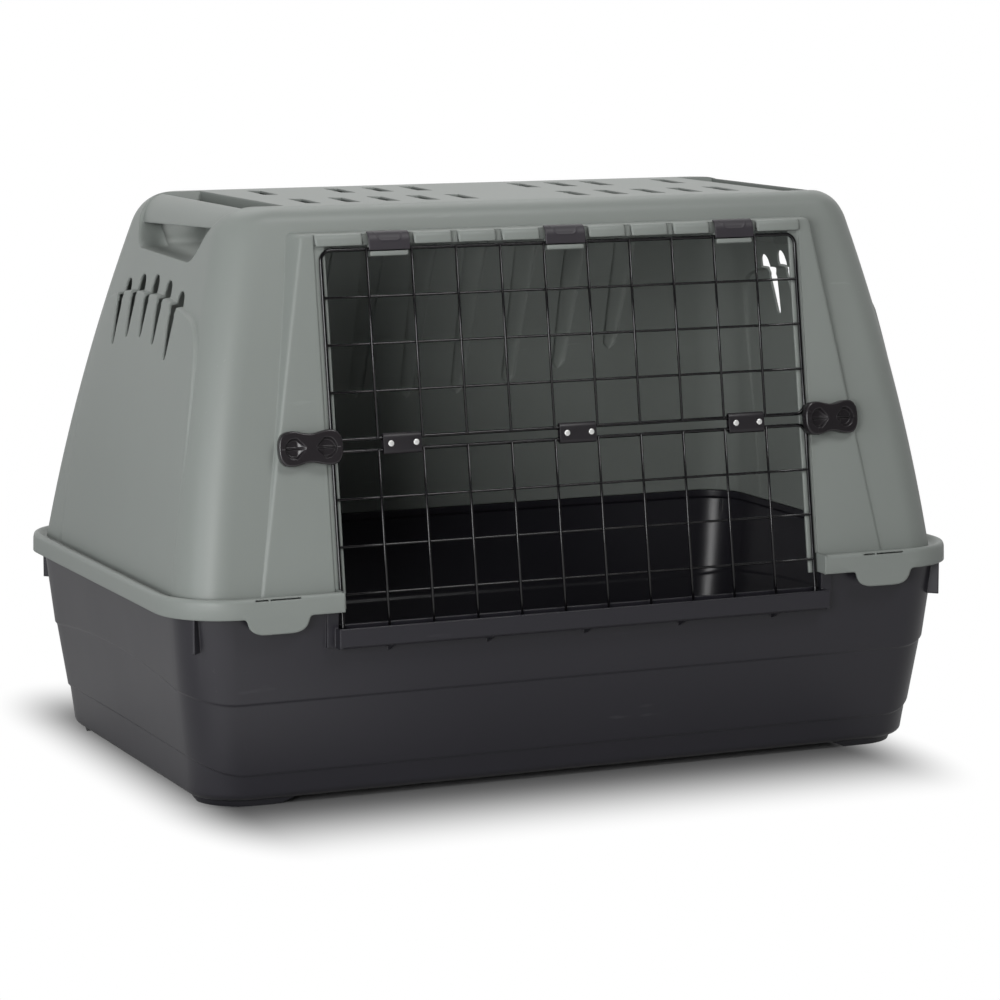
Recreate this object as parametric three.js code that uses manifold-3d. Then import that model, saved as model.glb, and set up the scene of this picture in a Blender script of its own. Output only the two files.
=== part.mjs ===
// Pet transport carrier: a black tub, a grey-green shell that sits on it and a folding wire door.
// Units are millimetres. X runs along the carrier, Y from the door side to the back, Z is up.
// The origin lies on the floor, under the middle of the rim.

import * as THREE from 'three';
import { mergeVertices } from 'three/addons/utils/BufferGeometryUtils.js';
import Module from 'manifold-3d';

const wasm = await Module();
wasm.setup();

// ---- driving dimensions -------------------------------------------------------------------

// overall
const LENGTH = 1000; // over the rim, end to end
const WIDTH = 610; // over the rim, front to back
const HEIGHT = 666; // floor to roof
const WALL = 3; // moulded wall of shell and tub
const FIT = 0.3; // gap between pieces that touch

// shell: rim, with a skirt outside and a gutter between its crest and the walls
const RIM_RADIUS = 79; // corner of the rim, seen from above
const SKIRT_BOTTOM = 223; // lower edge of the skirt above the floor
const CREST_HEIGHT = 23; // crest of the rim above that edge
const CREST_INSET = 5; // crest, in from the rim's outer face
const GUTTER_DEPTH = 6.5; // foot of the walls below the crest
const GUTTER_INSET = 15; // foot of the crest's inner slope
const TAB_REACH = 18.5; // how far the snap tabs hang below the skirt
const TAB_WIDTH = 72; // width of a snap tab where it leaves the skirt
const TAB_INSET = 117; // middle of a tab, in from the end of the rim
const TAB_SLOT = 1.6; // height of the slits in the rim above a tab
const TAB_SLOT_LENGTH = 54; // both slots and the bridge between them
const GUTTER_HOLE = 5; // diameter of the holes in the gutter of each end
const GUTTER_HOLE_SPREAD = 322; // between the two holes of one end

// shell: walls, each size an inset from the rim
const END_BASE = 19.3;
const FRONT_BASE = 25.7;
const BACK_BASE = 19.5;
const END_TOP = 105;
const FRONT_TOP = 118.5;
const BACK_TOP = 155;
const END_SWELL = 8.4; // outward bow of the end walls at half height
const SIDE_SWELL = 7; // the same of the front and back walls
const END_BOW = 4.5; // further bow of the end walls at mid-span, at half height
const WALL_RADIUS = 50; // upright corner at the gutter
const ROOF_RADIUS = 45; // the same corner at the roof
const END_ROUNDING = 34; // rounding from an end wall to the roof
const SIDE_ROUNDING = 16; // rounding from the front and back walls to the roof
const CORNER_SHRINK = 0.6; // how fast the upright corner tightens over that rounding

// shell: raised panel on each end wall, with its vents
const PAD_RISE = 8.6; // how far the panel stands proud at its top
const PAD_FOOT = 1; // and at the gutter
const PAD_FADE = 0.6; // share of that rise which is lost towards the panel's sides
const PAD_TOP_DROP = 106; // top of its arch, below the roof
const PAD_SHOULDER_DROP = 146; // where the arch turns down into its sides, below the roof
const PAD_HALF_TOP = 92; // half width of the panel where the arch leaves its flat top
const PAD_HALF_SHOULDER = 168; // half width at the shoulders
const PAD_HALF_BASE = 203; // half width at the gutter
const PAD_CENTRE = -18; // middle of the panel in Y
const VENT_CENTRE = -18; // middle of the row of vents in Y
const VENT_PITCH = 46.5;
const VENT_COUNT = 5;
const VENT_TOP_DROP = 85; // upper tip of the middle vent, below the roof
const VENT_BOTTOM_DROP = 158; // its lower tip, below the roof
const VENT_WIDTH = 24; // widest part of a vent, above the arch
const VENT_TAIL = 20; // width of its tail where it starts, below the arch
const VENT_TIP = 9; // width of the tail near its lower tip
const VENT_DROP = 2.8; // how far the outer vents' tops sit lower, per step squared
const VENT_TAIL_DROP = 4.3; // the same for their lower tips

// shell: carrying handles in the roof's ends
const HANDLE_BOTTOM_DROP = 63; // lower edge of the finger opening, below the roof
const HANDLE_HALF_LOW = 95; // half width of the recess at that edge
const HANDLE_HALF_ROOF = 140; // and at the roof
const HANDLE_DEPTH = 76; // recess, in from the outer face of the bar
const POCKET_SPREAD = 14; // how much wider the recess is behind its mouth, each side
const MOUTH_DEPTH = 18; // mouth, in from the end of the roof
const BAR_DEPTH = 27; // bar, in from the end of the roof
const BAR_INSET = 7; // bar, sunk in from the end
const BAR_DROP = 1.5; // bar, sunk below the roof
const BAR_BOTTOM_DROP = 29; // lower face of the bar, below the roof
const HANDLE_ROUNDING = 26; // between the floor and the inner wall of the recess
const BAR_ROUNDING = 9; // lower edges of the bar

// shell: slots in the roof
const ROOF_SLOT_WIDTH = 16;
const ROOF_SLOT_LENGTH = 77;
const ROOF_SLOT_PITCH = 49.3;
const ROOF_SLOT_FIRST = 72; // first slot of the front rows, from the middle
const ROOF_SLOT_SLANT = 6; // sideways lean of a slot over its length
const ROOF_SLOT_GAP = 77; // between the front and the back rows

// door: a plane that leans back, measured along its own slope
const DOOR_TOP_INSET = 80.3; // hinge wire, in from the front of the rim
const DOOR_TOP_DROP = 46.7; // hinge wire, below the roof
const DOOR_BOTTOM_INSET = 14.4; // lowest wire, in from the front of the rim
const DOOR_BOTTOM_Z = 186.2; // lowest wire, above the floor
const DOOR_END_INSET = 199.7; // side wires, in from the ends of the rim
const COLUMNS = 11; // openings across the door
const ROWS = 4; // openings down each panel
const FOLD_GAP = 13.3; // between the two wires that meet at the fold
const FRAME_WIRE = 4.2; // diameter
const GRID_WIRE = 3; // diameter
const FRAME_CORNER = 12; // bend radius of the frame wire
const DOOR_OVERLAP = 6.5; // frame wire over the edge of the opening

// shell: the raised door surround
const SURROUND_HEAD = 19; // from the hinge wire up to the surround's top edge
const SURROUND_SIDE = 21.2; // that edge, beyond the side wires
const SURROUND_BASE_INSET = 105.5; // its foot at the gutter, in from the ends of the rim
const SURROUND_FLARE = 0.3; // sideways run of its side facets for each mm of depth
const REBATE_DEPTH = 1.2; // shallow seat for the door's frame
const REBATE_MARGIN = 4.6; // seat beyond the frame wire
const LOBE_RISE = 5.8; // head lobes, proud of the seat
const LOBE_DROP = 4.5; // lower edge of the lobes above the hinge wire
const LOBE_GROOVE = 8; // groove between lobes, one for each upright wire
const HOOK_WIDTH = 46;
const HOOK_DROP = 8.2; // lower edge of the hooks below the hinge wire
const OPENING_CORNER = 3;
const CLIP_CELLS = [1, 5, 9]; // openings that hold a hinge clip and a joint clip

// hinge clips
const CLIP_WIDTH = 50;
const CLIP_WALL = 1.6;
const CLIP_HEAD = 20.2; // its top edge above the hinge wire

// joint clips at the fold, and their rivets
const JOINT_WIDTH = 46.4;
const JOINT_HEIGHT = 24;
const JOINT_DEPTH = 7.6;
const JOINT_SHIFT = 2.1; // its middle, right of the middle of its opening
const JOINT_WALL = 1.2;
const RIVET_DIAMETER = 4;
const RIVET_HEAD = 7;
const RIVET_HEAD_HEIGHT = 1.2;
const RIVET_PLACES = [-12.3, 18.4]; // along the clip, from the middle of its opening

// latches
const KNOB_LENGTH = 74;
const KNOB_HEIGHT = 39.5;
const KNOB_WAIST = 32.5; // height of the knob at its middle
const KNOB_THICKNESS = 10;
const HOLLOW_START = 6; // finger hollows, from the knob's middle
const HOLLOW_END = 28.5;
const HOLLOW_HEIGHT = 20;
const HOLLOW_DEPTH = 3.2;
const KNOB_TILT = THREE.MathUtils.degToRad(6); // turned outward, so that it clears the frame
const KNOB_OFFSET = 28.7; // pivot, outboard of the door's side wire
const SEAT_HEIGHT = 4.2; // round seat under the knob, at the pivot
const SEAT_DIAMETER = 30;
const SPINDLE_DIAMETER = 10;
const SOCKET_DEPTH = 6;
const RETAINER_DIAMETER = 24;
const RETAINER_THICKNESS = 4;

// tub, each inset measured from the rim
const TUB_RIM = 19.5;
const TUB_TOP = 15.8; // under the flange
const TUB_STEPS = [
  // height along the front and back, at the corners of the ends, and the arch between those
  { side: 122, end: 133, arch: 13, above: 24.8, below: 26.8 },
  { side: 38.5, end: 56.5, arch: 1, above: 36.4, below: 38.8 },
];
const TUB_BOTTOM = 42.5;
const STEP_SLOPE = 3; // height of a slanted step
const BOTTOM_ROUNDING = 11;
const TUB_RADIUS = 55; // upright corner
const FOOT_HEIGHT = 7;
const FOOT_LENGTH = 105; // along the front, from the end of the bottom
const FOOT_WIDTH = 68; // along the end, from the front of the bottom
const FOOT_INSET = 9;
const FLANGE_THICKNESS = 3;
const CORNER_RIB_REACH = 8.5;
const CORNER_RIB_HEIGHT = 41;
const CORNER_RIB_THICKNESS = 3;

// tub: doorway, sill trough and its gussets
const DOORWAY_MARGIN = 4.3; // doorway beyond the door's frame wire
const THRESHOLD = 205; // top of the wall behind the trough
const TROUGH_INSET = 22.4; // trough's back, in from the rim
const SILL_TOP = 204;
const SILL_END = 4; // trough beyond the doorway
const SILL_CHAMFER = 3; // lower front edge of the lip
const GUTTER_END = 2.2; // wall that closes the shell's gutter beside the door
const GUSSET_PITCH = 122;
const GUSSET_COUNT = 5;
const GUSSET_HEIGHT = 9;
const PILASTER_WIDTH = 14;
const PILASTER_RISE = 3.5;

// faceting
const CORNER_STEPS = 6;
const WIRE_SIDES = 8;
const ROUND_SIDES = 20;
const RIVET_SIDES = 12;
const OVERLAP = 0.5; // how far joined bodies reach into each other
const BEYOND = 60; // how far a cut reaches past what it cuts

// ---- worked-out sizes ---------------------------------------------------------------------

const HALF_LENGTH = LENGTH / 2;
const HALF_WIDTH = WIDTH / 2;
const CREST = SKIRT_BOTTOM + CREST_HEIGHT;
const LEDGE = CREST - GUTTER_DEPTH; // foot of the walls
const ROOF_MIDDLE = (FRONT_TOP - BACK_TOP) / 2;
const PAD_TOP = HEIGHT - PAD_TOP_DROP;
const PAD_SHOULDER_Z = HEIGHT - PAD_SHOULDER_DROP;
const VENT_TOP = HEIGHT - VENT_TOP_DROP;
const VENT_BOTTOM = HEIGHT - VENT_BOTTOM_DROP;
const HANDLE_BOTTOM = HEIGHT - HANDLE_BOTTOM_DROP;
const BAR_BOTTOM = HEIGHT - BAR_BOTTOM_DROP;
const DOOR_TOP_Y = DOOR_TOP_INSET - HALF_WIDTH;
const DOOR_TOP_Z = HEIGHT - DOOR_TOP_DROP;
const DOOR_HALF = HALF_LENGTH - DOOR_END_INSET;
const DOOR_LEAN = Math.atan2(DOOR_TOP_INSET - DOOR_BOTTOM_INSET, DOOR_TOP_Z - DOOR_BOTTOM_Z);
const DOOR_HEIGHT = (DOOR_TOP_Z - DOOR_BOTTOM_Z) / Math.cos(DOOR_LEAN);
const PANEL_HEIGHT = (DOOR_HEIGHT - FOLD_GAP) / 2;
const PITCH_ACROSS = 2 * DOOR_HALF / COLUMNS;
const PITCH_DOWN = PANEL_HEIGHT / ROWS;
const SURROUND_HALF_TOP = DOOR_HALF + SURROUND_SIDE;
const SURROUND_HALF_BASE = HALF_LENGTH - SURROUND_BASE_INSET;
const FRAME_RADIUS = FRAME_WIRE / 2;
const GRID_RADIUS = GRID_WIRE / 2;
const OPENING_HALF = DOOR_HALF - DOOR_OVERLAP;
const SEAT_FACE = -FRAME_RADIUS - FIT;
const SURROUND_FACE = SEAT_FACE + REBATE_DEPTH;
const SURROUND_INSIDE = SEAT_FACE - WALL;
const SEAT_HALF = DOOR_HALF + FRAME_RADIUS + REBATE_MARGIN;
const DOORWAY_HALF = DOOR_HALF + FRAME_RADIUS + DOORWAY_MARGIN;
const LEVEL_WIRE = 0.4; // middle of the level grid wires, in front of the frame's plane
const UPRIGHT_WIRE = LEVEL_WIRE + 2 * GRID_RADIUS - 0.6; // they overlap where they are welded
const FOLD_MIDDLE = PANEL_HEIGHT + FOLD_GAP / 2;
const FLANGE_BOTTOM = SKIRT_BOTTOM + 2;

// ---- materials ----------------------------------------------------------------------------

function finish(color, roughness, metalness) {
  return new THREE.MeshStandardMaterial({ color, roughness, metalness });
}

const shellPlastic = finish('#868c87', 0.5, 0);
const tubPlastic = finish('#34333a', 0.45, 0);
const clipPlastic = finish('#48434a', 0.45, 0);
const latchPlastic = finish('#2e2a2d', 0.3, 0);
const coatedWire = finish('#232126', 0.35, 0.4);
const sheetSteel = finish('#26242a', 0.4, 0.6);
const rivetMetal = finish('#d8d8d4', 0.35, 0.7);

// ---- tools for closed bodies --------------------------------------------------------------

// A closed three.js geometry as a manifold solid.
function solid(geometry) {
  const bare = geometry.clone();
  bare.deleteAttribute('normal');
  bare.deleteAttribute('uv');
  const merged = mergeVertices(bare, 1e-4);
  const vertProperties = new Float32Array(merged.attributes.position.array);
  const triVerts = new Uint32Array(merged.index.array);
  return new wasm.Manifold(new wasm.Mesh({ numProp: 3, vertProperties, triVerts }));
}

// A manifold solid as a three.js geometry.
function geometryOf(manifold) {
  const mesh = manifold.getMesh();
  const geometry = new THREE.BufferGeometry();
  const positions = new Float32Array(mesh.numVert * 3);
  for (let i = 0; i < mesh.numVert; i += 1) {
    for (let axis = 0; axis < 3; axis += 1) {
      positions[3 * i + axis] = mesh.vertProperties[mesh.numProp * i + axis];
    }
  }
  geometry.setAttribute('position', new THREE.BufferAttribute(positions, 3));
  geometry.setIndex(Array.from(mesh.triVerts));
  geometry.computeVertexNormals();
  return geometry;
}

function union(solids) {
  return solids.reduce((joined, next) => joined.add(next));
}

// Skin over rings of equal length, listed bottom to top, each counter-clockwise from above.
// A ring on its own is closed by a flat cap; with closed = true the last ring meets the first.
function loft(rings, closed = false) {
  const count = rings[0].length;
  const positions = rings.flat().flatMap((point) => [point.x, point.y, point.z]);
  const index = [];
  const spans = closed ? rings.length : rings.length - 1;
  for (let i = 0; i < spans; i += 1) {
    const low = i * count;
    const high = ((i + 1) % rings.length) * count;
    for (let j = 0; j < count; j += 1) {
      const next = (j + 1) % count;
      index.push(low + j, low + next, high + next);
      index.push(low + j, high + next, high + j);
    }
  }
  if (!closed) {
    const last = (rings.length - 1) * count;
    for (let j = 1; j < count - 1; j += 1) {
      index.push(0, j + 1, j);
      index.push(last, last + j, last + j + 1);
    }
  }
  const geometry = new THREE.BufferGeometry();
  geometry.setAttribute('position', new THREE.Float32BufferAttribute(positions, 3));
  geometry.setIndex(index);
  return geometry;
}

// Rounded rectangle at one height, counter-clockwise from above.
function roundedRing({ z, x, front, back, radius }) {
  const corners = [
    [x - radius, back - radius, 0],
    [radius - x, back - radius, 1],
    [radius - x, radius - front, 2],
    [x - radius, radius - front, 3],
  ];
  const points = [];
  for (const [cx, cy, quarter] of corners) {
    for (let step = 0; step <= CORNER_STEPS; step += 1) {
      const angle = (quarter + step / CORNER_STEPS) * Math.PI / 2;
      points.push(new THREE.Vector3(cx + radius * Math.cos(angle), cy + radius * Math.sin(angle), z));
    }
  }
  return points;
}

// The same ring with four more points on each of its two ends.
function withEndPoints(ring) {
  const half = ring.length / 2;
  const bridge = (from, to) => [0.2, 0.4, 0.6, 0.8].map((share) => from.clone().lerp(to, share));
  return [
    ...ring.slice(0, half),
    ...bridge(ring[half - 1], ring[half]),
    ...ring.slice(half),
    ...bridge(ring[ring.length - 1], ring[0]),
  ];
}

function box(low, high) {
  const size = high.map((value, axis) => value - low[axis]);
  const geometry = new THREE.BoxGeometry(...size);
  geometry.translate(...low.map((value, axis) => value + size[axis] / 2));
  return geometry;
}

function outline(points) {
  return new THREE.Shape(points.map(([x, y]) => new THREE.Vector2(x, y)));
}

function extruded(shape, depth, curveSegments = 6) {
  return new THREE.ExtrudeGeometry(shape, { depth, bevelEnabled: false, curveSegments });
}

// An outline in Y and Z, carried along X from one place to another.
function alongX(shape, from, to) {
  const geometry = extruded(shape, to - from);
  const frame = new THREE.Matrix4().makeBasis(
    new THREE.Vector3(0, 1, 0),
    new THREE.Vector3(0, 0, 1),
    new THREE.Vector3(1, 0, 0),
  );
  geometry.applyMatrix4(frame.setPosition(from, 0, 0));
  return geometry;
}

// An outline in X and Z, carried along Y from one place to another.
function alongY(shape, from, to) {
  const geometry = extruded(shape, to - from);
  geometry.rotateX(Math.PI / 2);
  geometry.translate(0, to, 0);
  return geometry;
}

function mirroredX(geometry) {
  const copy = geometry.clone().applyMatrix4(new THREE.Matrix4().makeScale(-1, 1, 1));
  const index = copy.index ? Array.from(copy.index.array) : [...Array(copy.attributes.position.count).keys()];
  for (let i = 0; i < index.length; i += 3) {
    [index[i + 1], index[i + 2]] = [index[i + 2], index[i + 1]];
  }
  copy.setIndex(index);
  return copy;
}

// ---- the door's own frame of reference ----------------------------------------------------
// x runs across the door, y up its slope from the hinge wire, z out of it.

const doorFrame = new THREE.Matrix4().makeBasis(
  new THREE.Vector3(1, 0, 0),
  new THREE.Vector3(0, Math.sin(DOOR_LEAN), Math.cos(DOOR_LEAN)),
  new THREE.Vector3(0, -Math.cos(DOOR_LEAN), Math.sin(DOOR_LEAN)),
).setPosition(0, DOOR_TOP_Y, DOOR_TOP_Z);

function doorPoint(x, y, z) {
  return new THREE.Vector3(x, y, z).applyMatrix4(doorFrame);
}

// Y of the plane that lies at this height above the floor, out of the door's plane by proud.
function doorY(height, proud) {
  const slope = (height - DOOR_TOP_Z - proud * Math.sin(DOOR_LEAN)) / Math.cos(DOOR_LEAN);
  return doorPoint(0, slope, proud).y;
}

// Place down the slope of the door for a height above the floor.
function slopeAt(height) {
  return (height - DOOR_TOP_Z) / Math.cos(DOOR_LEAN);
}

// A rectangular block in the door's frame.
function doorBlock(low, high) {
  return box(low, high).applyMatrix4(doorFrame);
}

// A section given as [out of the door, up the slope], carried across the door.
function doorBar(section, from, to) {
  const shape = outline(section.map(([out, up]) => [-out, up]));
  const geometry = extruded(shape, to - from);
  const turn = new THREE.Matrix4().makeBasis(
    new THREE.Vector3(0, 0, -1),
    new THREE.Vector3(0, 1, 0),
    new THREE.Vector3(1, 0, 0),
  );
  geometry.applyMatrix4(turn.setPosition(from, 0, 0));
  return geometry.applyMatrix4(doorFrame);
}

// ---- shell --------------------------------------------------------------------------------

// How far a rounded edge has drawn in at this depth below the surface that it ends in.
function edgeInset(radius, depth) {
  if (depth >= radius) {
    return 0;
  }
  return radius - Math.sqrt(radius ** 2 - (radius - depth) ** 2);
}

// Section of the shell's walls at one height; inward moves it into the wall.
function shellSection(z, inward = 0) {
  const t = (z - LEDGE) / (HEIGHT - LEDGE);
  const middle = 4 * t * (1 - t);
  const depth = HEIGHT - inward - z;
  const along = (base, top, swell, rounding) => (
    base + (top - base) * t - swell * middle + inward + edgeInset(rounding - inward, depth)
  );
  const shrink = CORNER_SHRINK * edgeInset(END_ROUNDING - inward, depth);
  return {
    z,
    x: HALF_LENGTH - along(END_BASE, END_TOP, END_SWELL, END_ROUNDING),
    front: HALF_WIDTH - along(FRONT_BASE, FRONT_TOP, SIDE_SWELL, SIDE_ROUNDING),
    back: HALF_WIDTH - along(BACK_BASE, BACK_TOP, SIDE_SWELL, SIDE_ROUNDING),
    radius: WALL_RADIUS + (ROOF_RADIUS - WALL_RADIUS) * t - inward - shrink,
    bow: END_BOW * middle,
  };
}

function rimSection(z, inset) {
  return {
    z,
    x: HALF_LENGTH - inset,
    front: HALF_WIDTH - inset,
    back: HALF_WIDTH - inset,
    radius: RIM_RADIUS - inset,
  };
}

// Heights of the wall sections, from the gutter to the roof.
function wallHeights(inward) {
  const top = HEIGHT - inward;
  const shares = [0, 0.14, 0.3, 0.46, 0.62, 0.78];
  const depths = [1, 0.7, 0.45, 0.25, 0.11, 0.03, 0].map((share) => share * (END_ROUNDING - inward));
  const straight = top - depths[0];
  const walls = shares.map((share) => LEDGE + share * (straight - LEDGE));
  return [...walls, ...depths.map((depth) => top - depth)];
}

// Section as a ring whose ends have extra points, bowed outward and raised by rise(y).
function bowedRing(section, rise = () => 0) {
  const middle = (section.back - section.front) / 2;
  const half = (section.back + section.front) / 2 - section.radius;
  return withEndPoints(roundedRing(section)).map((point) => {
    const away = Math.min(Math.abs(point.y - middle) / half, 1);
    point.x += Math.sign(point.x) * ((section.bow ?? 0) * (1 - away ** 4) + rise(point.y));
    return point;
  });
}

function shellWalls(inward, rise = () => () => 0) {
  return wallHeights(inward).map((z) => bowedRing(shellSection(z, inward), rise(z)));
}

function shellOutside() {
  const skirt = [
    rimSection(SKIRT_BOTTOM, 0),
    rimSection(CREST - 4, 0.8),
    rimSection(CREST - 1.2, 2),
    rimSection(CREST, CREST_INSET),
    rimSection(CREST - 0.6, CREST_INSET + 2),
    rimSection(LEDGE, GUTTER_INSET),
  ];
  return solid(loft([...skirt.map((section) => bowedRing(section)), ...shellWalls(0)]));
}

function shellInside() {
  const ceiling = LEDGE - WALL;
  const skirt = [
    rimSection(SKIRT_BOTTOM - BEYOND, WALL),
    rimSection(ceiling, WALL),
  ];
  const base = shellSection(LEDGE, WALL);
  const foot = bowedRing({ ...base, z: ceiling + 0.4 });
  return solid(loft([...skirt.map((section) => bowedRing(section)), foot, ...shellWalls(WALL).slice(1)]));
}

// The raised surround of the door, from its face back into the shell. Inward thins it all round.
function surroundBody(face, inward) {
  const top = SURROUND_HEAD - inward;
  const rings = [];
  for (const level of ['foot', 'head']) {
    const halfFace = (level === 'foot' ? SURROUND_HALF_BASE : SURROUND_HALF_TOP) - inward;
    const height = level === 'foot' ? LEDGE - 1 : DOOR_TOP_Z + top * Math.cos(DOOR_LEAN);
    const y = doorY(height, face);
    const halfDeep = halfFace + SURROUND_FLARE * BEYOND;
    rings.push([
      new THREE.Vector3(-halfDeep, y + BEYOND, height),
      new THREE.Vector3(-halfFace, y, height),
      new THREE.Vector3(halfFace, y, height),
      new THREE.Vector3(halfDeep, y + BEYOND, height),
    ]);
  }
  return solid(loft(rings));
}

// Arched outline of the raised panel on an end wall.
function padOutline(inward) {
  const top = PAD_TOP - inward;
  const level = PAD_HALF_TOP / 2;
  const wide = PAD_HALF_SHOULDER - inward;
  const foot = PAD_HALF_BASE - inward;
  const shape = new THREE.Shape();
  shape.moveTo(PAD_CENTRE - foot, LEDGE - 1);
  shape.lineTo(PAD_CENTRE + foot, LEDGE - 1);
  shape.quadraticCurveTo(PAD_CENTRE + foot, PAD_SHOULDER_Z - 120, PAD_CENTRE + wide, PAD_SHOULDER_Z);
  shape.bezierCurveTo(
    PAD_CENTRE + wide - 12,
    PAD_SHOULDER_Z + 20,
    PAD_CENTRE + PAD_HALF_TOP + level,
    top - 8,
    PAD_CENTRE + level,
    top,
  );
  shape.lineTo(PAD_CENTRE - level, top);
  shape.bezierCurveTo(
    PAD_CENTRE - PAD_HALF_TOP - level,
    top - 8,
    PAD_CENTRE - wide + 12,
    PAD_SHOULDER_Z + 20,
    PAD_CENTRE - wide,
    PAD_SHOULDER_Z,
  );
  shape.quadraticCurveTo(PAD_CENTRE - foot, PAD_SHOULDER_Z - 120, PAD_CENTRE - foot, LEDGE - 1);
  return shape;
}

// How far the panel stands proud of the end wall at this height, as a function of Y.
function padRise(z) {
  const t = Math.min(Math.max((z - LEDGE) / (PAD_TOP - LEDGE), 0), 1);
  const middle = PAD_FOOT + (PAD_RISE - PAD_FOOT) * t ** 2;
  return (y) => {
    const away = Math.min(Math.abs(y - PAD_CENTRE) / PAD_HALF_BASE, 1);
    return middle * (1 - PAD_FADE * away ** 4);
  };
}

function endPad(inward) {
  const body = solid(loft(shellWalls(inward, padRise)));
  const right = alongX(padOutline(inward), HALF_LENGTH - 3 * END_TOP, HALF_LENGTH);
  const arches = union([solid(right), solid(mirroredX(right))]);
  return body.intersect(arches);
}

// Part of a carrying handle's recess at the right end, up to this X. Outward grows it into its
// own wall; spread widens it.
function recessPart(outward, spread, outer) {
  const low = HANDLE_HALF_LOW + outward + spread;
  const high = HANDLE_HALF_ROOF + outward;
  const floor = HANDLE_BOTTOM - outward;
  const rounding = 16 + outward;
  const front = new THREE.Shape();
  const slope = (high - low) / (HEIGHT - HANDLE_BOTTOM);
  front.moveTo(ROOF_MIDDLE - low + rounding, floor);
  front.lineTo(ROOF_MIDDLE + low - rounding, floor);
  front.quadraticCurveTo(ROOF_MIDDLE + low, floor, ROOF_MIDDLE + low + slope * rounding, floor + rounding);
  front.lineTo(ROOF_MIDDLE + high + slope * BEYOND, HEIGHT + BEYOND);
  front.lineTo(ROOF_MIDDLE - high - slope * BEYOND, HEIGHT + BEYOND);
  front.lineTo(ROOF_MIDDLE - low - slope * rounding, floor + rounding);
  front.quadraticCurveTo(ROOF_MIDDLE - low, floor, ROOF_MIDDLE - low + rounding, floor);
  const inner = HALF_LENGTH - END_TOP - HANDLE_DEPTH - outward;
  const round = HANDLE_ROUNDING + outward;
  const side = new THREE.Shape();
  side.moveTo(inner + round, floor);
  side.lineTo(outer, floor);
  side.lineTo(outer, HEIGHT + BEYOND);
  side.lineTo(inner, HEIGHT + BEYOND);
  side.lineTo(inner, floor + round);
  side.quadraticCurveTo(inner, floor, inner + round, floor);
  const across = solid(alongX(front, inner - BEYOND, HALF_LENGTH));
  return across.intersect(solid(alongY(side, -HALF_WIDTH, HALF_WIDTH)));
}

// The whole recess at the right end: its mouth, and the wider pocket behind it.
function handleRecess(outward) {
  const mouth = recessPart(outward, 0, HALF_LENGTH);
  const pocket = recessPart(outward, POCKET_SPREAD, HALF_LENGTH - END_TOP - MOUTH_DEPTH + outward);
  return mouth.add(pocket);
}

// The bar that bridges the recess, before it is trimmed to the shell's outside.
function handleBar() {
  const inner = HALF_LENGTH - END_TOP - BAR_DEPTH;
  const side = new THREE.Shape();
  side.moveTo(inner + BAR_ROUNDING, BAR_BOTTOM);
  side.lineTo(HALF_LENGTH, BAR_BOTTOM);
  side.lineTo(HALF_LENGTH, HEIGHT + BEYOND);
  side.lineTo(inner, HEIGHT + BEYOND);
  side.lineTo(inner, BAR_BOTTOM + BAR_ROUNDING);
  side.quadraticCurveTo(inner, BAR_BOTTOM, inner + BAR_ROUNDING, BAR_BOTTOM);
  return solid(alongY(side, -HALF_WIDTH, HALF_WIDTH));
}

function bothEnds(right) {
  const copy = mirroredX(geometryOf(right));
  return right.add(solid(copy));
}

// One vent of the end walls: a lens above the arch and a long taper below it.
function ventOutline(step) {
  const middle = VENT_CENTRE + step * VENT_PITCH;
  const top = VENT_TOP - VENT_DROP * step ** 2;
  const bottom = VENT_BOTTOM - VENT_TAIL_DROP * step ** 2;
  const neck = top - 0.36 * (VENT_TOP - VENT_BOTTOM);
  const right = [
    [0.3 * VENT_TIP, bottom + 1],
    [0.5 * VENT_TIP, bottom + 5],
    [0.5 * VENT_TAIL, neck - 3],
    [0.4 * VENT_TAIL, neck],
    [0.43 * VENT_WIDTH, neck + 4],
    [0.5 * VENT_WIDTH, neck + 10],
    [0.4 * VENT_WIDTH, top - 6],
    [0.2 * VENT_WIDTH, top - 1],
  ];
  const left = right.map(([y, z]) => [-y, z]).reverse();
  return outline([...right, ...left].map(([y, z]) => [middle + y, z]));
}

function endVents() {
  const vents = [];
  for (let i = 0; i < VENT_COUNT; i += 1) {
    const right = alongX(ventOutline(i - (VENT_COUNT - 1) / 2), HALF_LENGTH - END_TOP - 20, HALF_LENGTH);
    vents.push(solid(right), solid(mirroredX(right)));
  }
  return union(vents);
}

// Middle of each slot in the roof, as [x, y].
function roofSlotPlaces() {
  const shift = (ROOF_SLOT_GAP + ROOF_SLOT_LENGTH) / 2;
  const places = [];
  for (const side of [-1, 1]) {
    for (let i = 0; i < 5; i += 1) {
      const x = side * (ROOF_SLOT_FIRST + i * ROOF_SLOT_PITCH);
      places.push([x, ROOF_MIDDLE - shift]);
      if (i !== 3) {
        places.push([x + ROOF_SLOT_SLANT, ROOF_MIDDLE + shift]);
      }
    }
  }
  return places;
}

function roofSlots() {
  const length = ROOF_SLOT_LENGTH / 2;
  const half = ROOF_SLOT_WIDTH / 2;
  const lean = ROOF_SLOT_SLANT / 2;
  const skew = 4;
  const slots = roofSlotPlaces().map(([x, y]) => {
    const shape = outline([
      [x - lean - half, y - length + skew],
      [x - lean + half - 2, y - length - skew],
      [x - lean + half, y - length - skew + 3],
      [x + lean + half, y + length - skew],
      [x + lean - half + 2, y + length + skew],
      [x + lean - half, y + length + skew - 3],
    ]);
    return solid(extruded(shape, 2 * BEYOND).translate(0, 0, HEIGHT - BEYOND));
  });
  return union(slots);
}

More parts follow.
